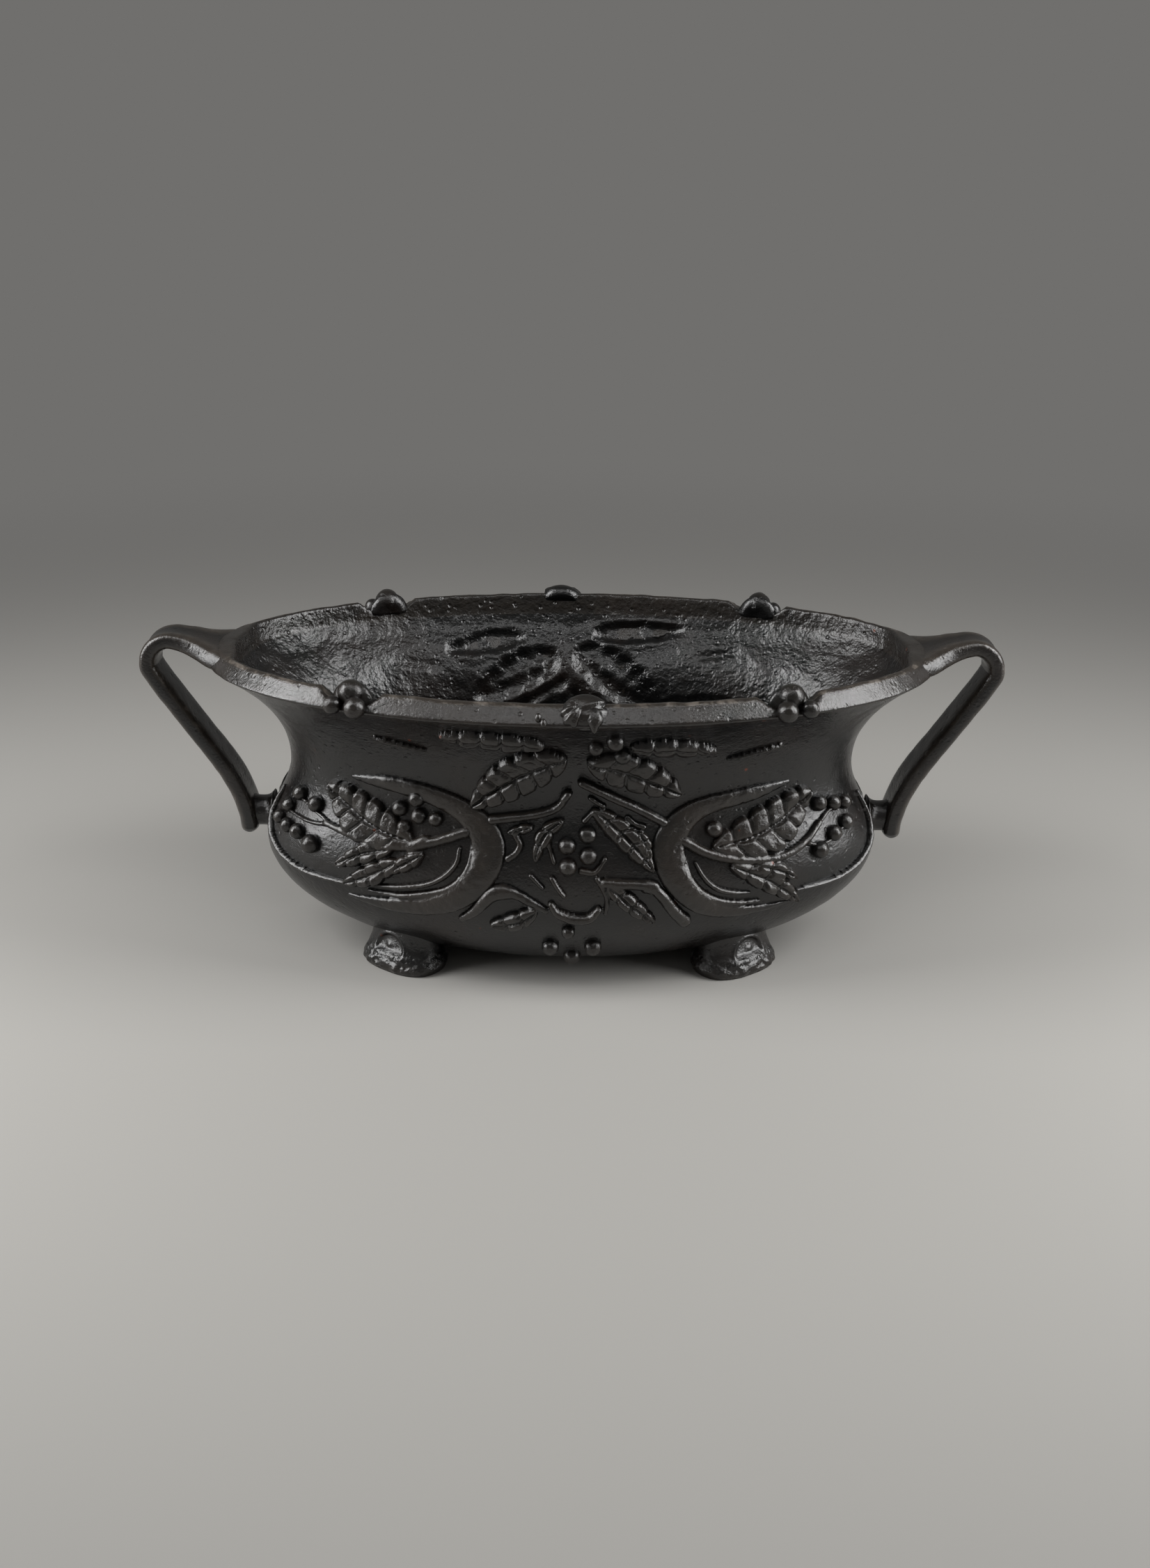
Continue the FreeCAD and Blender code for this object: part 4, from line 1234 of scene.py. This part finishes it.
@dataclass
class Handle:
    """Rigid strap handle: it leaves the rim's end, bends over and comes down to a boss on the belly."""

    shape: BowlShape
    outer_x: float = 235.0
    top: float = 177.5
    width: float = 24.0
    thickness: float = 10.5
    # Distance out of the rim, height over the lip, share of the width and thickness where the strap starts.
    root: tuple[tuple[float, ...], ...] = ((-1, 2.0, 2.9, 12.5), (5, 3.4, 2.1, 13.2), (11, 5.8, 1.5, 12.4),
                                           (19, 8.65, 1.14, 11.2))
    bend_radius: float = 12.5
    leg_end_height: float = 60.0
    stand_off: float = 9.5
    boss_radius: float = 8.5
    boss_height: float = 71.0
    boss_spread: float = 0.4
    boss_sink: float = 2.5
    boss_wear: float = 0.2
    knob_sizes: Triple = (5.0, 9.5, 4.4)
    squareness: float = 3.2
    end_round: float = 5.0
    dish: float = 1.5
    dish_end: tuple[float, float] = (0.45, 0.62)
    # Wear along the strap's edges, high enough in places for the light grey that is partly a painted
    # highlight.
    edge_wear_and_highlight: float = 1.2
    lumps: Line = ((0.16, 5.0), (0.25, 19.0))
    columns: int = 64

    def spine(self) -> Array:
        """Place, width and thickness of the strap, from inside the rim to the leg's end.

        Returns:
            Length place, height, width and thickness, one station per row.
        """
        s = self.shape
        half = self.thickness / 2
        rim_x = s.crest[0] - s.crest_width / 2
        stations = [(rim_x + out, s.lip[2] + up, share * self.width, thickness)
                    for out, up, share, thickness in self.root]
        bend = np.array((self.outer_x - half, self.top - half)) - self.bend_radius
        turns = np.radians((90, 62, 34, 6, -28))
        path = [bend + self.bend_radius * np.array((math.cos(turn), math.sin(turn))) for turn in turns]
        start = path[-1]
        end = np.array((s.belly[0] + self.stand_off, self.leg_end_height))
        drop = start[1] - end[1]
        corners = (start, start - (0.30 * drop, 0.48 * drop), end + (0, 0.33 * drop), end)
        for t in (0.15, 0.3, 0.45, 0.6, 0.75, 0.88, 1.0):
            weights = ((1 - t) ** 3, 3 * t * (1 - t) ** 2, 3 * t * t * (1 - t), t ** 3)
            path.append(sum(w * c for w, c in zip(weights, corners)))
        stations += [(x, z, self.width, self.thickness) for x, z in path]
        return smooth_line(np.array(stations), 12)

    def strap(self) -> Surface:
        """The bent strap, rounded off at its lower end.

        Returns:
            Its surface.
        """
        s = self.shape
        spine = self.spine()
        run = np.gradient(spine[:, :2], axis=0)
        run /= np.linalg.norm(run, axis=1, keepdims=True)
        u, v = rounded_ring(self.columns, 2 / self.squareness)
        left = np.concatenate((np.cumsum(np.hypot(*np.diff(spine[:, :2], axis=0).T)[::-1])[::-1], (0.0,)))
        round_off = np.sqrt(1 - np.clip(1 - left / self.end_round, 0, 0.97) ** 2)[:, None]
        y = spine[:, 2:3] / 2 * round_off * u
        lift = spine[:, 3:] / 2 * round_off * v
        arm = 1 - ease(np.arange(len(spine)) / len(spine), *self.dish_end)[:, None]
        lift = lift - self.dish * arm * (v > 0) * np.clip(1 - u ** 2, 0, 1) ** 2
        x = spine[:, :1] - run[:, 1:] * lift
        z = spine[:, 1:2] + run[:, :1] * lift
        rim = s.crest[0] * (1 - np.sqrt(np.maximum(1 - (y / s.crest[1]) ** 2, 0)))
        x = x - rim * (1 - ease(spine[:, :1], s.crest[0] - 3, s.lip[0] + 8))
        grid = np.stack((x, y, z), axis=-1)
        grid = grid + grid_normals(grid, True) * cast_lumps(grid, self.lumps)[..., None]
        # Worn colour along the strap's edges, light grey where highest: rubbed bare iron and partly a painted
        # highlight.
        worn = np.broadcast_to(self.edge_wear_and_highlight * ease(np.abs(u * v), 0.25, 0.6), grid.shape[:2])
        return tube(grid, grid[[0, -1]].mean(axis=1), worn)

    def boss(self) -> Surface:
        """Short boss between the leg and the belly, spreading into both.

        Returns:
            Its surface.
        """
        wall_x = float(self.shape.half_sizes(np.array((self.boss_height,)))[0, 0])
        start = self.shape.belly[0] + self.stand_off
        share = np.linspace(0, 1, 16)[:, None]
        radius = self.boss_radius * (1 + self.boss_spread * np.abs(2 * share - 1) ** 3)
        turn = np.linspace(0, 2 * math.pi, self.columns, endpoint=False)
        x = start + (wall_x - self.boss_sink - start) * share + 0 * turn
        grid = np.stack((x, radius * np.sin(turn), self.boss_height + radius * np.cos(turn)), axis=-1)
        return tube(grid, grid[[0, -1]].mean(axis=1), np.full(x.shape, self.boss_wear), self.boss_wear)

    def build(self) -> None:
        """Makes both handles."""
        end = np.array((self.shape.belly[0] + self.stand_off + 0.6, 0.0, self.leg_end_height + 3.0))
        knob = ball(end, self.knob_sizes, np.array((1.0, 0.0, 0.0)))
        right = self.strap().joined(self.boss()).joined(knob).piece("right_handle")
        copied_piece(right, "left_handle", MIRROR_LENGTH)


@dataclass
class Foot:
    """Short block foot turned to the corner, with an arched hollow over a ledge and a coarse pitted pad."""

    shape: BowlShape
    place: tuple[float, float] = (91.0, -45.0)
    half_width: float = 25.0
    half_reach: float = 17.0
    turn: float = -53.0
    top: float = 34.0
    overlap: float = 1.8
    roundness: float = 0.8
    size_line: Line = ((0, 0.95), (0.12, 1.0), (0.42, 0.84), (0.7, 0.84), (1.0, 1.0))
    inset_line: Line = ((0, 0), (0.12, 0), (0.42, 2.0), (0.7, 3.5), (1.0, 6.0))
    arch_radius: float = 10.0
    arch_depth: float = 1.5
    arch_rim: float = 0.4
    ledge: float = 10.5
    ledge_rise: float = 0.5
    bud: tuple[float, float] = (1.0, 3.6)
    pad_wear: float = 0.6
    worn_heights: tuple[float, float] = (1.0, 8.0)
    lumps: Line = ((0.2, 6.0),)
    pad_lumps: Line = ((0.8, 2.6), (0.5, 4.6))
    columns: int = 150
    rows: int = 60

    def sections(self, share: Array) -> list[Array]:
        """Size share and inset of the block at shares of its height."""
        return [np.interp(share, *smooth_line(line, 12).T) for line in (self.size_line, self.inset_line)]

    def under_bowl(self, places: Array) -> Array:
        """Height just inside the bowl's wall over places on the floor.

        Args:
            places: Length and depth places, one per row.

        Returns:
            One height per place.
        """
        heights = np.linspace(self.shape.base[2], self.top, 120)
        x, y = places.T[..., None]
        length, depth = self.shape.half_sizes(heights).T
        inside = (x / length) ** 2 + (y / depth) ** 2 <= 1
        first = heights[np.argmax(inside, axis=-1)]
        return np.where(inside.any(axis=-1), first, self.top) + self.overlap

    def carving(self, side: Array, height: Array) -> Array:
        """How far the outer face stands out: the arched hollow, its raised rim, the ledge and the bud inside.

        Args:
            side: Places across the face.
            height: Heights of the same places.

        Returns:
            One distance per place.
        """
        away = np.hypot(side, height - self.ledge)
        over = ease(height, self.ledge - 1.4, self.ledge + 1.6)
        hollow = -self.arch_depth * over * (1 - ease(away, self.arch_radius - 1.6, self.arch_radius))
        rim = self.arch_rim * over * bump(away, self.arch_radius + 0.6, 0.7)
        ledge = self.ledge_rise * bump(height, self.ledge - 1, 1.5) * (1 - ease(np.abs(side), 9.0, 13.0))
        bud = np.exp(-((side - self.bud[0]) ** 2 + (height - self.ledge - self.bud[1]) ** 2) / 3.0)
        return hollow + rim + ledge + bud

    def grid(self) -> Array:
        """Points of the block from the floor up its side and in over its top, which lies in the bowl's wall.

        Returns:
            Points by ring and column.
        """
        angle = math.radians(self.turn)
        outward = np.array((math.cos(angle), math.sin(angle)))
        sideways = np.array((-outward[1], outward[0]))
        u, v = rounded_ring(self.columns, self.roundness)

        def ring(height: Array) -> tuple[Array, Array]:
            """Side of the block.

            Args:
                height: A height for each column.

            Returns:
                Its level places, and how far each lies across the face.
            """
            size, inset = self.sections(height / self.top)
            out = self.half_reach * size * u - inset
            side = self.half_width * size * v
            return self.place + np.outer(out, outward) + np.outer(side, sideways), side

        reach = np.full(self.columns, self.top / 2)
        for _ in range(12):
            reach = 0.5 * reach + 0.5 * np.minimum(self.under_bowl(ring(reach)[0]), self.top)
        rows = []
        for share in np.linspace(0, 1, self.rows):
            height = reach * share
            level, side = ring(height)
            flat = np.column_stack((level, height))
            pad = 1 - ease(height, self.ledge - 2, self.ledge + 1)
            lump = cast_lumps(flat, self.lumps) + pad * cast_lumps(flat, self.pad_lumps)
            push = self.carving(side, height) * ease(u, 0.25, 0.7) + lump * ease(height, 0.0, 1.5)
            level = level + np.outer(u * push, outward) + np.outer(v * push * 0.5, sideways)
            rows.append(np.column_stack((level, height)))
        edge = rows[-1][:, :2]
        for share in (0.75, 0.5, 0.25):
            level = edge.mean(axis=0) + (edge - edge.mean(axis=0)) * share
            rows.append(np.column_stack((level, self.under_bowl(level))))
        return np.array(rows)

    def build(self) -> None:
        """Makes the four feet."""
        grid = self.grid()
        middle = grid[self.rows - 1, :, :2].mean(axis=0)
        lid = float(self.under_bowl(middle[None])[0])
        ends = np.array(((*grid[0, :, :2].mean(axis=0), 0.0), (*middle, lid)))
        surface = tube(grid, ends, self.pad_wear * (1 - ease(grid[..., 2], *self.worn_heights)))
        low = np.array([surface.points[face, 2].max() < self.ledge for face in surface.faces])
        front_right = surface.piece("front_right_foot", low)
        changes = {"front_left": MIRROR_LENGTH, "back_right": MIRROR_DEPTH, "back_left": HALF_TURN}
        for corner, change in changes.items():
            copied_piece(front_right, corner + "_foot", change)


@dataclass(frozen=True)
class SoftBox:
    """Evenly lit panel that looks at the planter, placed and sized in metres."""

    name: str
    place: Triple
    size: tuple[float, float]
    watts: float
    aim: Triple = (0.0, 0.0, 0.1)

    def build(self) -> None:
        """Hangs the lamp."""
        data = bpy.data.lights.new(self.name, "AREA")
        data.shape = "RECTANGLE"
        data.size, data.size_y = self.size
        data.energy = self.watts
        box = bpy.data.objects.new(self.name, data)
        box.location = self.place
        box.rotation_euler = (Vector(self.aim) - Vector(self.place)).to_track_quat("-Z", "Y").to_euler()
        bpy.context.scene.collection.objects.link(box)


@dataclass
class Studio:
    """Pale floor, three soft boxes and the camera at the photograph's angle, in metres and degrees."""

    focal_px: float = 2450.0
    image_height_px: float = 2252.0
    sensor_mm: float = 36.0
    camera_place: Triple = (0.0023, -0.8892, 0.4417)
    pitch: float = 21.68
    roll: float = 0.55
    view_end: float = 50.0
    floor_size: float = 16.0
    sky_light: float = 0.5
    soft_boxes: tuple[SoftBox, ...] = (
        SoftBox("left_soft_box", (-0.86, -0.2, 0.55), (0.42, 0.95), 11.4),
        SoftBox("right_soft_box", (0.86, -0.2, 0.55), (0.42, 0.95), 11.4),
        SoftBox("top_soft_box", (0.0, -0.5, 0.95), (0.8, 0.16), 1.6))

    def build_camera(self) -> None:
        """Sets the camera as it was fitted to the photograph."""
        data = bpy.data.cameras.new("camera")
        data.sensor_fit = "VERTICAL"
        data.sensor_height = self.sensor_mm
        data.lens = self.sensor_mm * self.focal_px / self.image_height_px
        data.clip_end = self.view_end
        camera = bpy.data.objects.new("camera", data)
        tilt = Euler((math.radians(90 - self.pitch), 0, 0)).to_matrix().to_4x4()
        roll = Matrix.Rotation(math.radians(self.roll), 4, "Z")
        camera.matrix_world = Matrix.Translation(self.camera_place) @ tilt @ roll
        bpy.context.scene.collection.objects.link(camera)
        bpy.context.scene.camera = camera

    def build_floor(self) -> None:
        """Lays the floor."""
        half = self.floor_size / 2
        mesh = bpy.data.meshes.new("floor")
        corners = [(-half, -half, 0), (half, -half, 0), (half, half, 0), (-half, half, 0)]
        mesh.from_pydata(corners, [], [(0, 1, 2, 3)])
        mesh.materials.append(MatteFloor().material())
        floor = bpy.data.objects.new("floor", mesh)
        bpy.context.scene.collection.objects.link(floor)

    def build_world(self) -> None:
        """Dim even light all round, which looks pale to the camera and in reflections."""
        world = bpy.data.worlds.new("studio")
        world.use_nodes = True
        bpy.context.scene.world = world
        tree = world.node_tree
        strength = spread(tree, background_rays(tree), (0.0, 1.0, self.sky_light, 1.0))
        sky = tree.nodes["Background"]
        sky.inputs["Color"].default_value = linear(MatteFloor.backdrop)
        tree.links.new(strength, sky.inputs["Strength"])

    def build(self) -> None:
        """Sets up camera, floor, sky and lamps."""
        bpy.context.scene.view_settings.view_transform = "Standard"
        self.build_camera()
        self.build_floor()
        self.build_world()
        for box in self.soft_boxes:
            box.build()


def main() -> None:
    """Dresses every node of the frame and sets the studio."""
    logging.basicConfig(level=logging.INFO, format="%(name)s %(message)s")
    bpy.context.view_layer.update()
    shape = BowlShape()
    holly = Holly()
    reliefs = holly.left_end() + holly.right_end() + holly.middle()
    Bowl(shape, reliefs).build()

    rim = RimOrnament(shape)
    fronts = [part.build(shape) for part in reliefs + holly.berries()]
    fronts.append(rim.clasp())
    opposite = {"front_left": "back_right", "front_right": "back_left", "front": "back"}
    for piece in fronts:
        node = piece.name.removesuffix("_casting")
        side = next(s for s in opposite if node.startswith(s))
        copied_piece(piece, node.replace(side, opposite[side], 1), HALF_TURN)
    for corner, angle in shape.cluster_angles().items():
        rim.cluster(corner + "_rim_berries", angle)

    Handle(shape).build()
    Foot(shape).build()
    steel = TurnedSteel().material()
    for node in ("handle_dowels", "handle_screws", "foot_screws"):
        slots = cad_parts[node].data.materials
        slots.clear()
        slots.append(steel)
    Studio().build()


if __name__ == "__main__":
    main()
